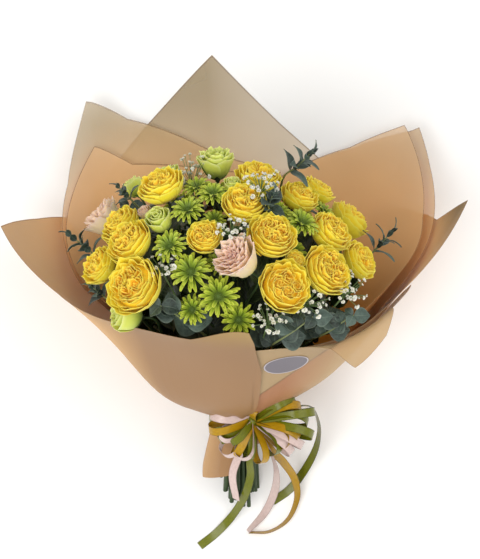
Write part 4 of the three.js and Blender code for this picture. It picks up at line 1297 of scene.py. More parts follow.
@dataclass
class Stems:
    """The bound stems, from their cut ends to where they fork, with the roses' leaves."""

    wrap: "Wrap"
    radius: float = 2.4
    twig: float = 1.3
    bundle: tuple[float, float, float] = (22.6, 14.8, 14)  # half across and to the front, half the tied length
    fork_share: float = 0.66
    cut_lengths: tuple[float, ...] = (92, 112, 126, 100, 118)
    cut_spread: float = 1.3
    shoots: int = 26
    arm_leaf: tuple = ((34, 50), (18, 26))  # lengths and widths of the leaves on the heads' own stalks
    stem_leaf: tuple = ((40, 58), (20, 30))
    shoot_leaf: tuple = ((34, 48), (18, 26))
    leaf_thick: float = 0.5
    leaf_room: float = 7  # kept between a leaf and the film
    head_room: float = 16  # kept between a leaf and the tops of the heads
    tape_size: tuple[float, float, float] = (26.2, 18.4, 20)  # half across, half to the front, length
    tape_ridge: float = 0.25
    trunks: list[Trunk] = field(default_factory=list)

    def plan(self) -> None:
        """Finds the stems' forks and their places across the tie, as the part's source does."""
        groups: dict[str, list[Head]] = {}
        for head in HEADS:
            groups.setdefault(head.spray, []).append(head)
        for group in groups.values():
            middle = sum((h.base for h in group), Vector()) / len(group)
            self.trunks.append(Trunk(TIE.lerp(middle, self.fork_share if len(group) > 1 else 0.8), group))
        self.trunks += [Trunk(Vector(s.route[0]), []) for s in SPRIGS]
        self.trunks += [Trunk(c.root(), []) for c in CLOUDS]
        across, front, _ = self.bundle
        for trunk in self.trunks:
            offset = trunk.fork - TIE
            rise = offset.dot(AXIS)
            trunk.place = Vector((offset.dot(ACROSS) / rise * 22, offset.dot(FRONT) / rise * 22, 0))
        places = [trunk.place for trunk in self.trunks]
        for _ in range(8):
            settle(places, [self.radius] * len(places))
            for place in places:
                out = math.hypot(place.x / across, place.y / front)
                if out > 1:
                    place /= out

    def rising(self, trunk: Trunk) -> np.ndarray:
        """Finds the line of a stem from the tie to its fork.

        Args:
            trunk: the stem.

        Returns:
            The line's points.
        """
        half = self.bundle[2]
        towards = outward(trunk.fork)
        top = beside(half - 2, trunk.place.x, trunk.place.y)
        reach = (trunk.fork - top).length
        between = [top + AXIS * 0.2 * reach, trunk.fork - towards * 0.2 * reach]
        return line_through([top, *between, trunk.fork], 12)

    def arms(self, trunk: Trunk) -> list[tuple[np.ndarray, float]]:
        """Finds the stalks of a stem above its fork.

        Args:
            trunk: the stem.

        Returns:
            Each stalk's line and radius.
        """
        towards = outward(trunk.fork)
        own = trunk.heads[0].kind is DAISY
        start = trunk.fork + towards * (GAP if own else 0)
        split = start + towards * (8 if own else 0)
        lines = [(line_through([start, split], 2), self.radius)] if own else []
        for head in trunk.heads:
            end = head.base + head.facing * (0.1 * head.size if own else 0)
            below = end - head.facing * 0.35 * (end - split).length
            lines.append((line_through([split - towards * 2, below, end], 9), self.twig))
        return lines

    def leaf_on(
        self,
        bench: Bench,
        line: np.ndarray,
        share: float,
        chance: Chance,
        size: tuple[float, float],
        finish: int,
    ) -> None:
        """Adds a leaf that grows from a stalk.

        Args:
            bench: where it goes.
            line: the stalk's middle.
            share: how far along the stalk it grows.
            chance: the source of small differences.
            size: the leaf's length and width.
            finish: which of the bench's finishes it has.
        """
        i = min(int(share * (len(line) - 1)), len(line) - 2)
        foot = Vector(line[i])
        along = (Vector(line[i + 1]) - foot).normalized()
        away = (foot - FOCUS).normalized()
        side = along.cross(away)
        side = side.normalized() if side.length > 0.05 else ACROSS
        panel = panel_of(6, 8)
        for _ in range(6):
            turn = Matrix.Rotation(chance.uniform(0, ANY_TURN), 3, along)
            pointing = (along * chance.uniform(0.2, 0.9) + (turn @ side) * 0.8).normalized()
            facing = (away + Vector(chance.uniform(-0.5, 0.5, 3))).normalized()
            points = leaf_points(panel, foot, pointing, facing, size, chance.uniform(0.0, 0.2), 1.1)
            farthest = np.linalg.norm(points - np.array(DOME_CENTRE), axis=1).max()
            if farthest < DOME_RADIUS - self.head_room and self.wrap.holds(points, self.leaf_room):
                bench.panel(panel, points, leaf_tone(panel, chance), finish)
                return

    def foliage(self, stalks: Bench, leaves: Bench, chance: Chance) -> None:
        """Adds leafy shoots that fill the dome's underside, between the heads and the film.

        Args:
            stalks: where the shoots' stalks go.
            leaves: where their leaves go.
            chance: the source of small differences.
        """
        for k in range(self.shoots):
            azimuth = math.radians(-84 + 168 * ((k * 0.618) % 1))
            dip = math.radians(4 + 34 * ((k * 0.381) % 1))
            level = math.cos(dip)
            way = Vector((math.sin(azimuth) * level, math.cos(azimuth) * level, -math.sin(dip)))
            end = DOME_CENTRE + way * (DOME_RADIUS - 34)
            while not self.wrap.holds(np.array([end[:]]), 22) and (end - DOME_CENTRE).length > 60:
                end = DOME_CENTRE + (end - DOME_CENTRE) * 0.92
            start = TIE.lerp(end, 0.35)
            line = line_through([start, start.lerp(end, 0.5) + UP * 6, end], 14)
            if not self.wrap.holds(line[2:], 4):
                continue
            stalks.tube(line, np.linspace(1.6, 0.8, len(line)), 6, PLAIN)
            for share in np.linspace(0.25, 0.98, 9):
                self.leaf_on(leaves, line, float(share), chance, any_of(self.shoot_leaf, chance), 1)

    def build(self) -> None:
        """Builds the stalks and their leaves."""
        chance = np.random.default_rng(7)
        finishes = [STALK_GREEN.make(), LEAF_GREEN.make()]
        stalks, leaves = Bench(), Bench()
        for index, trunk in enumerate(self.trunks):
            across, front = trunk.place.x, trunk.place.y
            half = self.bundle[2]
            drop = (TIE.z + self.cut_spread * front * math.cos(TILT) - self.radius - 0.3) / math.sin(TILT)
            length = min(self.cut_lengths[index % len(self.cut_lengths)], drop)
            cut = beside(-length, self.cut_spread * across, self.cut_spread * front)
            below = line_through([cut, beside(-half, across, front), beside(half - 1, across, front)], 12)
            swell = 1 + 0.12 * np.sin(np.linspace(0, 9, len(below)) + index)
            stalks.tube(below, self.radius * swell, 10, PLAIN)
            rising = self.rising(trunk)
            stalks.tube(rising, self.radius, 8, PLAIN)
            if trunk.heads and trunk.heads[0].kind is not DAISY:
                for line, radius in self.arms(trunk):
                    stalks.tube(line, radius, 8, PLAIN)
                    for share in (0.1, 0.4, 0.7):
                        self.leaf_on(leaves, line, share, chance, any_of(self.arm_leaf, chance), 1)
            for share in (0.45, 0.6, 0.75, 0.85, 0.95):
                self.leaf_on(leaves, rising, share, chance, any_of(self.stem_leaf, chance), 1)
        self.foliage(stalks, leaves, chance)
        hand_over(stalks.piece("stem_bundle_stalks", finishes), "stem", "stem_bundle")
        hand_over(leaves.piece("stem_bundle_leaves", finishes, self.leaf_thick), "stem")

    def tape(self) -> None:
        """Builds the floral tape round the tie: overlapping turns of a stretched crepe paper."""
        bench = Bench()
        wide, deep, length = self.tape_size
        panel = panel_of(72, 20)
        turn = np.pi * (panel.u + 1)
        ridge = self.tape_ridge * np.abs(np.sin(2.5 * np.pi * (panel.v + panel.u / 5)))
        across, front = (wide + ridge) * np.sin(turn), (deep + ridge) * np.cos(turn)
        points = rows_beside(length * (panel.v - 0.5), across, front)
        bench.panel(panel, points, (panel.v, 0, 0.5, 0))
        # Waxed crepe paper is dull, and its stretched fibres are the streaks.
        tape = StalkFinish("floral tape, stretched crepe paper", 0.7, "3B5A30", "55743F")
        hand_over(bench.piece("binding_tape", [tape.make()], 0.8, seamed=True), "binding", "binding")


@dataclass
class Eucalyptus:
    """Sprigs of eucalyptus: broad, pointed leaves in opposite pairs, powdered blue-green."""

    # The powdery bloom scatters light, so the leaf is duller and bluer than the green under it.
    leaf: LeafFinish = LeafFinish(
        "eucalyptus leaf, waxy blue-green bloom",
        0.55,
        "0D1812",
        "52665A",
        "7E8E7A",
        0.3,
        side_veins=0.2,
        patches=(0.42, 0.9),
        own=0.3,
    )
    twig: StalkFinish = StalkFinish("eucalyptus twig", 0.5, "5B6A40", "8A8F5C")
    opening: float = 1.15  # between a leaf and its twig
    broad: float = 28  # leaves at least this wide are turned to lie flat over the rim
    lift: float = 3  # for each point of a broad-leaved twig's route, to clear the rim
    leaf_thick: float = 0.5
    steps: int = 24  # along a twig

    def sprig(self, bench: Bench, sprig: Sprig, chance: Chance) -> None:
        """Adds one sprig.

        Args:
            bench: where it goes.
            sprig: its form.
            chance: the source of small differences.
        """
        is_broad = sprig.width >= self.broad
        route = [Vector(p) + UP * (self.lift * i if is_broad else 0) for i, p in enumerate(sprig.route)]
        line = line_through([route[0] + outward(route[0]) * 0.6, *route[1:]], self.steps)
        bench.tube(line, np.linspace(1.4, 0.7, len(line)), 8, PLAIN, 1)
        panel = panel_of(10, 12)

        def grow(share: float, spin: float, opening: float, scale: float) -> None:
            """Adds one leaf.

            Args:
                share: how far along the twig it grows.
                spin: how far it is turned round the twig.
                opening: the angle between it and the twig.
                scale: its share of the full size.
            """
            i = min(int(share * self.steps), self.steps - 1)
            foot = Vector(line[i]).lerp(Vector(line[i + 1]), share * self.steps - i)
            along = (Vector(line[i + 1]) - Vector(line[i])).normalized()
            side = UP.cross(along).normalized()
            side.rotate(Matrix.Rotation(spin, 3, along))
            pointing = along * math.cos(opening) + side * math.sin(opening)
            facing = along * math.sin(opening) - side * math.cos(opening)
            if is_broad:
                turn = GOLDEN * len(bench.parts) + spin
                rise = chance.uniform(-0.45, 0.1) - 0.3 * min(math.sin(turn), 0)
                flat = Vector((math.cos(turn), math.sin(turn), rise))
                pointing = (pointing * 0.3 + flat).normalized()
                facing = (UP + facing * 0.4 + Vector(chance.uniform(-0.45, 0.45, 3))).normalized()
            trim, tip = (0.86, 1.5) if is_broad else (1.0, 1.1)
            size = (sprig.length * scale * trim, sprig.width * scale * trim)
            points = leaf_points(panel, foot, pointing, facing, size, chance.uniform(0.0, 0.14), tip)
            bench.panel(panel, points, leaf_tone(panel, chance))

        for i in range(sprig.pairs):
            share = (0.12 if is_broad else 0.5) + (0.72 if is_broad else 0.44) * i / sprig.pairs
            spin = (math.pi / 2.5 if i % 2 else 0.0) + chance.uniform(-0.15, 0.15)
            for side in (0, math.pi):
                grow(share, spin + side, self.opening, 1 - 0.1 * i)
            grow(share + 0.08, spin + math.pi / 2, 0.8, 0.55)
            grow(share + 0.1, spin - math.pi / 2, 0.8, 0.5)
        grow(0.99, 0, 0.25, 0.7)
        grow(0.99, math.pi * 0.6, 0.7, 0.5)
        grow(0.99, math.pi * 1.4, 0.7, 0.45)

    def build(self) -> None:
        """Builds one piece a sprig."""
        finishes = [self.leaf.make(), self.twig.make()]
        for number, sprig in enumerate(SPRIGS, 1):
            bench = Bench()
            self.sprig(bench, sprig, np.random.default_rng(500 + number))
            name = f"eucalyptus_{number}"
            hand_over(bench.piece(f"{name}_sprig", finishes, self.leaf_thick), "eucalyptus", name)


@dataclass
class Gypsophila:
    """Clouds of gypsophila: ruffled white florets of about 6 mm on hair-thin forked twigs."""

    floret: PetalFinish = PetalFinish(
        "gypsophila floret, white", 0.7, "A9AE84", "D6D4C2", "E6E4D8", "BDBA98", veins=6, glow=0.1
    )
    twig: StalkFinish = StalkFinish("gypsophila twig", 0.6, "55703A", "7F9560")
    petals: int = 9
    radius: float = 2.9
    more: int = 5  # florets for each one of the solid
    spread: float = 1.6  # of the solid's reach
    petal_thick: float = 0.3

    def cloud(self, bench: Bench, cloud: Cloud, chance: Chance) -> None:
        """Adds one cloud.

        Args:
            bench: where it goes.
            cloud: its form.
            chance: the source of small differences.
        """
        crown, root = Vector(cloud.crown), cloud.root()
        towards = outward(crown)
        side = towards.cross(UP).normalized()
        other = side.cross(towards)
        hub = crown - towards * 1.3 * cloud.reach
        bench.tube(line_through([root + towards * GAP, root.lerp(hub, 0.6), hub], 8), 1.0, 6, PLAIN, 1)
        count = cloud.florets * self.more
        panel = panel_of(3, 2)
        for i in range(count):
            turn = GOLDEN * i + chance.uniform(-0.3, 0.3)
            out = self.spread * cloud.reach * math.sqrt((i + 0.5) / count)
            lift = cloud.reach * chance.uniform(-0.6, 0.5)
            place = crown + side * out * math.cos(turn) + other * out * math.sin(turn) + towards * lift
            knee = hub.lerp(place, 0.45) + towards * 0.12 * cloud.reach
            bench.tube(line_through([hub, knee, place], 4), 0.35, 4, PLAIN, 1)
            facing = ((place - hub).normalized() + Vector(chance.uniform(-0.3, 0.3, 3))).normalized()
            move = standing(place, facing, chance.uniform(0, ANY_TURN))
            size = self.radius * chance.uniform(0.5, 1.1)
            for k in range(self.petals):
                ring = k % 2
                v = panel.v
                outwards = (0.15 + (0.85 - 0.3 * ring) * v) * size
                up = size * (0.15 + (0.35 + 0.45 * ring) * v**1.5 + 0.12 * np.sin(3 * panel.u + k))
                points = np.stack([outwards, panel.u * size * (0.16 + 0.34 * v), up], axis=1)
                spin = Matrix.Rotation(k * 2 * math.pi / self.petals * 2.01, 4, "Z")
                bench.panel(panel, moved(points, move @ spin), (0.4 + 0.6 * v, 0.1, chance.uniform(), v))

    def build(self) -> None:
        """Builds one piece a cloud."""
        finishes = [self.floret.make(), self.twig.make()]
        for number, cloud in enumerate(CLOUDS, 1):
            bench = Bench()
            self.cloud(bench, cloud, np.random.default_rng(700 + number))
            name = f"gypsophila_{number}"
            hand_over(bench.piece(f"{name}_cloud", finishes, self.petal_thick), "gypsophila", name)


# ---- film ----
@dataclass(frozen=True)
class Sheet:
    """One sheet of film: its layer from the inside, its painted tones, and the corners of its upper edge and its
    hem.

    A corner is an angle round the wrap in degrees, and t, the share of the way from the tie to the rim.
    """

    layer: int
    tones: tuple[str, str, str]
    edge: tuple[tuple[float, float], ...]
    hem: tuple[tuple[float, float], ...]
    side: float  # metres, of the square that it is cut from
    area: float  # square metres, of the cut
    # The line along which it is turned over, seen from above.
    crease: tuple[tuple[float, float], tuple[float, float]] | None = None
    painted_light_side: tuple[str, float, float] | None = None  # a painted lighter tone, and the angles where it begins and is full
    glow: str = ""  # the painted lighter tone's warmer painted glow further in, where it is another one
    rim_cover: float = 0.5  # of one of its faces at the rim


# All sheets are one film: each sheet's three tones, from the tie to the rim, are painted light and shade, set
# sheet by sheet.
SHEETS = {
    "film_liner": Sheet(
        0,
        ("CC822C", "F8CA90", "ECCAA0"),
        (
            *((60, 0.86), (105, 1.08), (136, 1.44), (150, 1.18), (165, 1.0)),
            *((210, 1.08), (227, 1.24), (270, 0.86)),
        ),
        ((60, -0.6), (270, -0.55)),
        0.5,
        0.13,
    ),
    "film_back_left": Sheet(
        1,
        ("C98A44", "F8CE9A", "B8A278"),
        ((165, 1.02), (180, 1.09), (210, 1.3), (227, 1.5), (240, 1.18), (255, 0.98), (270, 0.86)),
        ((165, -0.7), (270, -0.6)),
        0.42,
        0.076,
    ),
    "film_back_right": Sheet(
        2,
        ("DC9848", "F4C488", "D2B282"),
        ((75, 0.86), (90, 0.95), (105, 1.14), (120, 1.32), (132, 1.5), (150, 1.18), (165, 1.0), (180, 0.95)),
        ((75, -0.6), (180, -0.7)),
        0.42,
        0.075,
    ),
    "film_right": Sheet(
        3,
        ("DC9E5C", "E6B06C", "7E5E22"),
        ((15, 0.86), (60, 0.9), (75, 0.98), (90, 1.5), (105, 1.12), (120, 1.0), (135, 0.92)),
        ((15, -0.6), (135, -0.65)),
        0.4,
        0.064,
        rim_cover=0.74,
        painted_light_side=("FFDCAE", 92, 62),
    ),
    "film_front_right": Sheet(
        4,
        ("BA8460", "BC8C68", "BCA078"),
        ((-45, 0.86), (0, 0.95), (30, 0.99), (38, 1.12), (45, 1.5), (56, 1.36), (66, 0.98), (90, 0.87)),
        ((-45, -0.6), (90, -0.65)),
        0.4,
        0.064,
        ((10, -116.5), (88, -62)),
        painted_light_side=("D0AE7E", 26, 52),
        rim_cover=0.7,
    ),
    "film_front_left": Sheet(
        5,
        ("AC845C", "A48262", "B09262"),
        (
            *((240, 1.02), (250, 1.18), (260, 1.36), (266, 1.46), (281, 1.0), (334, 1.08), (348, 1.13)),
            *((368.5, 1.5), (370.5, 1.21), (372, 0.93), (374, 0.79)),
        ),
        ((240, -0.7), (256, -1.0), (286, -1.3), (322, -1.15), (346, -1.06), (349, -0.62), (374, -0.55)),
        0.44,
        0.086,
        painted_light_side=("CCA06A", 322, 284),
        glow="F0C07E",
        rim_cover=0.74,
    ),
    "film_back": Sheet(
        6,
        ("D29A5C", "F6D8B0", "B09C78"),
        ((135, 0.86), (150, 1.0), (165, 1.24), (180, 1.5), (204, 1.24), (216, 1.1), (240, 0.86)),
        ((135, -0.6), (180, -0.9), (240, -0.65)),
        0.46,
        0.092,
        painted_light_side=("FFF2E0", 182, 152),
    ),
}


@dataclass
class Wrap:
    """The wrap: seven sheets of film gathered at the tie, and the label on its front."""

    neck: tuple[float, float, float] = (28.2, 20.4, 16)  # half across and to the front, half the tied length
    middle_layer: int = 3
    outer_layer: int = 6
    pitch: tuple[float, float] = (1.25, 4.2)  # between layers at the neck, and more towards the rim
    skirt_length: float = 90
    skirt_flare: float = 0.6
    fold: float = 0.9
    film_thick: float = 0.8  # as in the solids, which sets where a layer lies on the table
    drawn_thick: float = 0.3
    pleats: int = 23
    rows: int = 64
    crease_width: float = 2.5
    crease_lift: float = 1.2
    tie_cover: float = 0.8  # of one of a sheet's faces near the tie
    column_widths: tuple[float, float] = (1.25, 0.8)  # degrees, of a plain sheet and of a turned one
    samples: tuple = ()  # points and directions of the innermost layer, found on their first use
    label_centre: tuple[float, float] = (24, 0.8)
    label_size: tuple[float, float] = (55, 36)
    label_tilt: float = -0.1
    ribs: tuple = (
        ((-4, -110, 178), (-10, -38, 286), (-12, -8, 320)),
        ((84, -92, 142), (118, -32, 246), (128, -60, 256)),
        ((128, -48, 84), (218, 52, 132), (266, 122, 130)),
        ((98, 12, 34), (190, 132, 14), (216, 213, 22)),
        ((-4, -16, 16), (-18, 150, 0), (-27, 299, 2)),
        ((-92, 16, 34), (-160, 132, 14), (-178, 240, 24)),
        ((-102, -52, 84), (-204, 34, 148), (-262, 92, 150)),
        ((-74, -100, 138), (-116, -14, 242), (-142, 0, 282)),
    )

    def neck_point(self, angle: np.ndarray, along: np.ndarray, flare: np.ndarray) -> np.ndarray:
        """Finds points of the gathered neck and the skirt below it.

        Args:
            angle: round the axis in degrees.
            along: how far from the tie.
            flare: how much wider than the neck.

        Returns:
            One point a row.
        """
        across, front, _ = self.neck
        turn = np.radians(angle)
        return rows_beside(along, across * flare * np.sin(turn), front * flare * np.cos(turn))

    def surface(self, angle: np.ndarray, t: np.ndarray) -> np.ndarray:
        """Points of the wrap's form.

        Args:
            angle: round the axis in degrees, 0 in front and 90 to the right.
            t: the share of the way from the tie to the rim, below 0 for the skirt.

        Returns:
            One point a row.
        """
        half = self.neck[2]
        flare = 1 + self.skirt_flare * np.maximum(0, -0.5 - t)
        along = np.where(t <= -0.5, -half + (t + 0.5) * self.skirt_length, half * (1 + 4 * np.minimum(t, 0)))
        below = self.neck_point(angle, along, flare)
        starts = self.neck_point(np.arange(8) * 45.0, np.full(8, half), np.ones(8))
        share = np.clip(t / 1.5, 0, 1)
        ribs = [np.array([start, *rib], float) for start, rib in zip(starts, self.ribs)]
        around = np.stack([spline(rib, share) for rib in ribs])
        place = spline(around, (angle / 360) % 1, closed=True)
        x = np.clip(t / 0.25, 0, 1)
        settled = (x * x * (3 - 2 * x))[:, None]
        return np.where((t <= 0)[:, None], below, below * (1 - settled) + place * settled)

    def normal(self, angle: np.ndarray, t: np.ndarray) -> np.ndarray:
        """Finds the wrap's outward directions.

        Args:
            angle: round the axis in degrees.
            t: the share of the way from the tie to the rim.

        Returns:
            One direction a row.
        """
        around = self.surface(angle + 1, t) - self.surface(angle - 1, t)
        along = self.surface(angle, t + 0.02) - self.surface(angle, t - 0.02)
        out = np.cross(around, along)
        return out / np.linalg.norm(out, axis=1)[:, None]

    def film_point(self, angle: np.ndarray, t: np.ndarray, layer: int, off: float = 0.0) -> np.ndarray:
        """Finds points in the middle of one layer of film, with its pleats and soft waves.

        Args:
            angle: round the axis in degrees.
            t: the share of the way from the tie to the rim.
            layer: which layer, from the inside.
            off: how far outside the layer the points are.

        Returns:
            One point a row.
        """
        spread = np.maximum(0, t) * self.pitch[1]
        pleat = 1.6 * np.sin(np.radians(angle) * self.pleats) * np.exp(-(((t - 0.12) / 0.16) ** 2))
        wave = 2.2 * np.sin(np.radians(angle) * 7 + 2 * t) * np.clip(t - 0.2, 0, 1)
        offset = layer * self.pitch[0] + (layer - self.middle_layer) * spread + pleat + wave + off
        place = self.surface(angle, t) + self.normal(angle, np.minimum(t, self.fold)) * offset[:, None]
        floor = (self.outer_layer - layer) * self.pitch[0] + self.film_thick / 2
        place[:, 2] = np.maximum(place[:, 2], floor)
        return place

    def holds(self, points: np.ndarray, room: float) -> bool:
        """Tells whether points lie inside the wrap.

        Args:
            points: one point a row.
            room: how far from its innermost sheet they have to be.

        Returns:
            True where all of them do.
        """
        if not self.samples:
            grids = np.meshgrid(np.arange(0, 360, 5.0), np.linspace(0.02, 1.5, 40))
            angle, t = (grid.ravel() for grid in grids)
            self.samples = (self.film_point(angle, t, 0), self.normal(angle, np.minimum(t, self.fold)))
        places, normals = self.samples
        nearest = np.linalg.norm(points[:, None] - places[None], axis=2).argmin(axis=1)
        out = ((points - places[nearest]) * normals[nearest]).sum(axis=1)
        return bool((out < -room).all())

    def sheet(self, name: str, sheet: Sheet, finish: bpy.types.Material) -> bpy.types.Object:
        """Builds one sheet.

        Args:
            name: its node's name.
            sheet: its outline.
            finish: its material.

        Returns:
            The piece.
        """
        corners = np.array([a for a, _ in sheet.edge], float)
        first, last = corners[0], corners[-1]
        step = self.column_widths[1 if sheet.crease else 0]
        columns = [first]
        for a, b in zip(corners, corners[1:]):
            columns += list(np.linspace(a, b, max(1, round((b - a) / step)) + 1)[1:])
        columns = np.array(columns)
        panel = panel_of(len(columns) - 1, self.rows * (2 if sheet.crease else 1))
        index = np.rint((panel.u + 1) / 2 * (len(columns) - 1)).astype(int)
        angle = columns[index]
        top = np.interp(angle, corners, [t for _, t in sheet.edge])
        bottom = np.interp(angle, [a for a, _ in sheet.hem], [t for _, t in sheet.hem])
        t = bottom + (top - bottom) * panel.v
        points = self.film_point(angle, t, sheet.layer)
        turned = np.zeros(len(points))
        if sheet.crease:
            start, end = (np.array(place) for place in sheet.crease)
            way = (end - start) / np.linalg.norm(end - start)
            beyond = (points[:, :2] - start) @ np.array([-way[1], way[0]])
            turned = np.clip(beyond / self.crease_width + 0.5, 0, 1)
            points = self.film_point(angle, t, sheet.layer, self.crease_lift * turned)
        bench = Bench()
        # Painted light: how far each point takes the sheet's painted lighter side, and its painted glow inside the
        # cone.
        painted_light_share = 0.0
        if sheet.painted_light_side:
            painted_light_share = np.interp(angle, *zip(*sorted(zip(sheet.painted_light_side[1:], (0.0, 1.0)))))
        glow = np.clip((t - 0.15) / 0.3, 0, 1) * np.clip((1.3 - t) / 0.5, 0, 1)
        bench.panel(panel, points, (np.clip(t / 1.5, 0, 1), turned, painted_light_share, glow))
        log.info("%s spans %.0f to %.0f degrees", name, first, last)
        piece = bench.piece(f"{name}_sheet", [finish], self.drawn_thick)
        return piece

    def label(self) -> None:
        """Builds the bare oval label, bent to the film under it."""
        clear_selection()
        angle, t = (np.array([value]) for value in self.label_centre)
        layer = SHEETS["film_front_right"].layer
        here = self.film_point(angle, t, layer)
        wide = np.linalg.norm(self.film_point(angle + 1, t, layer) - here)
        high = np.linalg.norm(self.film_point(angle, t + 0.01, layer) - here) * 100
        panel = panel_of(96, 10)
        turn, share = np.pi * (panel.u + 1), panel.v
        x = 0.5 * self.label_size[0] * share * np.cos(turn)
        y = 0.5 * self.label_size[1] * share * np.sin(turn) + self.label_tilt * x
        points = self.film_point(angle + x / wide, t + y / high, layer, self.crease_lift + 0.8)
        bench = Bench()
        bench.panel(panel, points, (share, 0, 0.5, share))
        # The coating gives flat paper a low sheen.
        finish = LabelFinish("coated paper label", 0.4).make()
        hand_over(bench.piece("label_oval", [finish], self.drawn_thick, seamed=True), "label", "label")

    def build(self) -> None:
        """Builds every sheet and the label."""
        for name, sheet in SHEETS.items():
            # Each sheet's painted lighter side and painted glow, on the same film.
            painted_light_side = sheet.painted_light_side[0] if sheet.painted_light_side else sheet.tones[1]
            glow = sheet.glow or painted_light_side
            cover = (self.tie_cover, sheet.rim_cover)
            # A frosted film blurs what it shows and has wide soft highlights.
            finish = FilmFinish(f"frosted polypropylene, {name}", 0.42, *sheet.tones, painted_light_side, glow, cover)
            hand_over(self.sheet(name, sheet, finish.make()), "film", name)
        self.label()


# ---- ribbon ----
class Shade(Enum):
    """The bow's three ribbons: satin has bright narrow highlights that run across its folds."""

    OLIVE = SatinFinish("satin ribbon, olive", 0.24, "70740E", "444A08")
    GOLD = SatinFinish("satin ribbon, old gold", 0.24, "B48A10", "7E600A")
    PINK = SatinFinish("satin ribbon, shell pink", 0.24, "D8C0B8", "AC948E")


OLIVE, GOLD, PINK = Shade.OLIVE, Shade.GOLD, Shade.PINK


@dataclass
class Bow:
    """The bow: bands round the tie, loops from the knot and trailing tails, of three satin ribbons."""

    width: float = 10
    thick: float = 0.4
    band: float = 28.7  # inner half height of the band
    widening: float = 7.8  # the band is this much wider across
    knot: tuple[float, float, float] = (22, -137, 116)
    knot_radius: float = 7
    clear: float = 0.6  # between a ribbon's lower edge and the table
    sag: float = 0.16  # how far a loop hangs, as a share of its reach
    half_open: float = 0.21  # how far a loop's sides stand from its middle, as a share of its reach
    overlap: float = 1.03  # turns of a band round the tie
    loops: tuple = (  # direction, reach, roll about it in degrees, ribbon
        ((-0.96, 0.12, 0.32), 52, 78, PINK),
        ((-0.95, -0.20, 0.24), 54, 66, GOLD),
        ((-0.84, -0.44, 0.36), 46, 28, PINK),
        ((-0.82, -0.50, 0.05), 46, 80, OLIVE),
        ((-0.64, -0.74, 0.14), 54, 32, PINK),
        ((-0.28, -0.94, 0.36), 50, 18, PINK),
        ((-0.12, -0.96, 0.10), 46, 74, OLIVE),
        ((-0.44, -0.86, 0.24), 48, 82, GOLD),
        ((0.20, -0.94, 0.16), 52, 52, GOLD),
        ((0.97, -0.24, 0.26), 74, 76, OLIVE),
        ((0.88, -0.46, 0.16), 66, 84, PINK),
        ((0.98, 0.00, 0.42), 68, 54, OLIVE),
        ((0.88, 0.30, 0.50), 64, 68, GOLD),
        ((0.76, 0.46, 0.55), 62, 84, OLIVE),
        ((0.58, -0.80, 0.30), 50, 38, OLIVE),
        ((0.84, -0.52, 0.38), 54, 30, GOLD),
        ((0.94, 0.14, 0.34), 76, 88, OLIVE),
        ((0.92, -0.34, 0.34), 60, 70, GOLD),
        ((0.80, 0.36, 0.62), 50, 50, OLIVE),
        ((0.74, -0.64, 0.12), 60, 76, PINK),
        ((-0.60, -0.60, 0.42), 40, 70, OLIVE),
        ((0.10, 0.50, 0.85), 30, 65, GOLD),
    )
    tails: tuple = (  # route, how far it stands on edge from its start to its end in degrees, ribbon
        (
            (
                *((18, -186, 92), (19, -204, 76), (14, -226, 56), (5, -246, 28)),
                *((-7, -264, 8), (-23, -281, 1.6), (-42, -296, 1.6)),
            ),
            (50, 30, 12, 30, 10, 0),
            OLIVE,
        ),
        (
            (
                *((66, -122, 132), (88, -122, 112), (99, -142, 82), (98, -172, 44)),
                *((84, -204, 12), (66, -228, 1.6), (46, -242, 1.6)),
            ),
            (40, 74, 80, 66, 30, 8, 0),
            OLIVE,
        ),
        (
            (
                *((42, -172, 92), (58, -190, 62), (73, -216, 24), (75, -240, 6)),
                *((64, -264, 4), (42, -278, 3), (17, -279, 3)),
            ),
            (20, 8, 25, 55, 74, 80),
            GOLD,
        ),
        (
            ((44, -180, 94), (50, -202, 62), (47, -232, 18), (36, -256, 2.6), (16, -278, 1.6)),
            (66, 74, 50, 16, 30, 66),
            PINK,
        ),
        (((6, -178, 94), (-2, -202, 80), (2, -236, 44)), (30, 20, 40), PINK),
    )

    def strip(
        self, bench: Bench, points: list[Vector], widthwise: Callable[[Vector, float], Vector], steps: int
    ) -> None:
        """Adds a flat ribbon along a smooth line.

        Args:
            bench: where it goes.
            points: the line.
            widthwise: gives the way that the width lies for the line's direction at a share of its length.
            steps: how many faces along it.
        """
        line = line_through(points, steps)
        ways = np.gradient(line, axis=0)
        sides = [widthwise(Vector(way).normalized(), i / steps).normalized() for i, way in enumerate(ways)]
        side = np.array([way[:] for way in sides])
        floor = self.clear + np.abs(side[:, 2]) * self.width / 2
        line[:, 2] = np.maximum(line[:, 2], floor)
        panel = panel_of(4, steps)
        row = np.rint(panel.v * steps).astype(int)
        points = line[row] + side[row] * (panel.u * self.width / 2)[:, None]
        length = np.linalg.norm(np.diff(line, axis=0), axis=1).sum()
        uv = np.stack([panel.u / 2 + 0.5, panel.v * length / UV_LENGTH], axis=1)
        bench.add(points, panel.faces, uv, (panel.v, 0, 0.5, 0))

    def loop(self, bench: Bench, direction: tuple, reach: float, roll: float) -> None:
        """Adds one loop from the knot.

        Args:
            bench: where it goes.
            direction: the way that it points.
            reach: how far it goes.
            roll: its turn about that way, in degrees.
        """
        out = Vector(direction).normalized()
        opened = UP.cross(out).normalized()
        opened.rotate(Matrix.Rotation(math.radians(roll), 3, out))
        flat = out.cross(opened)
        points = []
        for share in np.linspace(0, 1, 9):
            away = reach * math.sin(math.pi * share) ** 0.8
            apart = self.half_open * reach * math.sin(2 * math.pi * share)
            sag = self.sag * reach * math.sin(math.pi * share) ** 2
            points.append(Vector(self.knot) + out * away - opened * apart - UP * sag)
        self.strip(bench, points, lambda way, _: flat - way * flat.dot(way), 40)

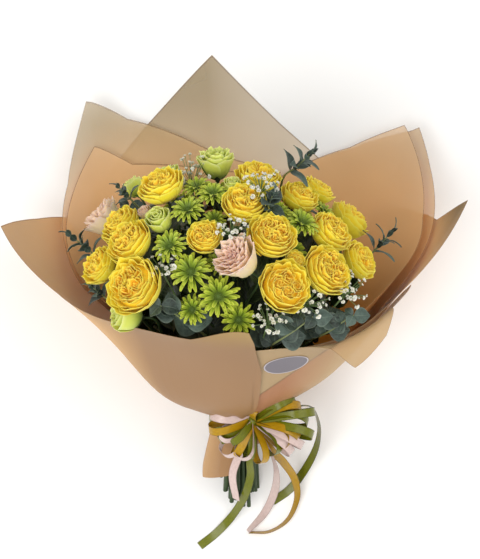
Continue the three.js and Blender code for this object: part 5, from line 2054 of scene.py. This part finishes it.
    def tail(self, bench: Bench, route: tuple, twist: tuple) -> None:
        """Adds one tail.

        Args:
            bench: where it goes.
            route: the points that it follows from the knot.
            twist: how far it stands on edge, in degrees, evenly spaced along it.
        """
        places = np.linspace(0, 1, len(twist))

        def widthwise(way: Vector, share: float) -> Vector:
            """The width's way: level across the tail, turned about it by the twist."""
            turn = math.radians(np.interp(share, places, twist))
            return Matrix.Rotation(turn, 3, way) @ UP.cross(way).normalized()

        self.strip(bench, [Vector(self.knot), *[Vector(p) for p in route]], widthwise, 60)

    def build(self) -> None:
        """Builds one piece for each of the three ribbons."""
        benches = {shade: Bench() for shade in Shade}
        for direction, reach, roll, shade in self.loops:
            self.loop(benches[shade], direction, reach, roll)
        for route, twist, shade in self.tails:
            self.tail(benches[shade], route, twist)
        for shade, along in ((OLIVE, -3.0), (PINK, 3.0)):
            panel = panel_of(76, 4)
            turn = np.pi * (self.overlap * panel.u + 1)
            out = self.band + (0.9 if shade is OLIVE else 0.4) + 0.3 * panel.u
            across, front = (out + self.widening) * np.sin(turn), out * np.cos(turn)
            points = rows_beside(along + self.width * (panel.v - 0.5), across, front)
            uv = np.stack([panel.v, (panel.u + 1) * 5], axis=1)
            benches[shade].add(points, panel.faces, uv, (panel.v, 0, 0.5, 0))
        ball = ball_of(4)
        x, y, z = ball.points.T
        crumple = 1 + 0.1 * np.sin(5 * x + 3 * y) * np.cos(4 * z)
        points = np.array(self.knot) + self.knot_radius * ball.points * crumple[:, None]
        benches[OLIVE].ball(ball, points, PLAIN)
        for shade in Shade:
            piece = benches[shade].piece(f"ribbon_{shade.name.lower()}", [shade.value.make()], self.thick)
            hand_over(piece, "ribbon", "ribbon_bow")


# ---- studio ----
@dataclass
class Studio:
    """A pale table, soft lights, and the camera straight above, as the photograph was taken."""

    camera_place: tuple[float, float, float] = (6.6, 26.5, 3000)
    lens: float = 159.6
    floor_size: float = 8.0  # metres, like the lamps' places and sizes
    lamps: tuple = (  # name, place, size, watts
        ("key", (-0.9, -0.9, 2.4), 1.6, 36),
        ("fill", (1.3, 0.6, 2.0), 2.0, 16),
    )
    aim: tuple[float, float, float] = (0, 0, 0.12)
    sky: float = 0.75

    def light(self, name: str, place: tuple, size: float, watts: float) -> None:
        """Adds a soft square lamp that faces the bouquet.

        Args:
            name: its name.
            place: where it hangs.
            size: the length of its side.
            watts: its power.
        """
        lamp = bpy.data.lights.new(name, "AREA")
        lamp.size = size
        lamp.energy = watts
        holder = bpy.data.objects.new(name, lamp)
        holder.location = place
        holder.rotation_euler = (Vector(self.aim) - Vector(place)).to_track_quat("-Z", "Y").to_euler()
        bpy.context.scene.collection.objects.link(holder)

    def build(self) -> None:
        """Builds the table, the lights and the camera."""
        clear_selection()
        bpy.ops.mesh.primitive_plane_add(size=self.floor_size)
        floor = bpy.context.object
        floor.name = "table"
        # Uncoated paper has no highlights at all.
        floor.data.materials.append(FloorFinish("seamless paper", 0.9).make())
        for lamp in self.lamps:
            self.light(*lamp)
        world = bpy.context.scene.world or bpy.data.worlds.new("studio")
        bpy.context.scene.world = world
        world.use_nodes = True
        background = world.node_tree.nodes["Background"]
        background.inputs[0].default_value = (1, 1, 1, 1)
        background.inputs[1].default_value = self.sky
        data = bpy.data.cameras.new("camera")
        data.lens = self.lens
        data.clip_end = 20
        camera = bpy.data.objects.new("camera", data)
        camera.location = (Vector(self.camera_place) + SHIFT * Vector((1, 1, 0))) / 1000
        bpy.context.scene.collection.objects.link(camera)
        bpy.context.scene.camera = camera
        bpy.context.scene.view_settings.view_transform = "Standard"


def clear_defaults() -> None:
    """Removes what a new file holds, apart from the frame."""
    for name in ("Cube", "Light", "Camera"):
        thing = bpy.data.objects.get(name)
        if thing:
            bpy.data.objects.remove(thing)


def main() -> None:
    """Builds the bouquet piece by piece."""
    logging.basicConfig(level=logging.INFO, format="%(message)s")
    clear_defaults()
    Studio().build()
    place_heads()
    wrap = Wrap()
    stems = Stems(wrap)
    stems.plan()
    Blooms().build()
    Daisies().build(stems)
    stems.build()
    stems.tape()
    Eucalyptus().build()
    Gypsophila().build()
    wrap.build()
    Bow().build()


if __name__ == "__main__":
    main()
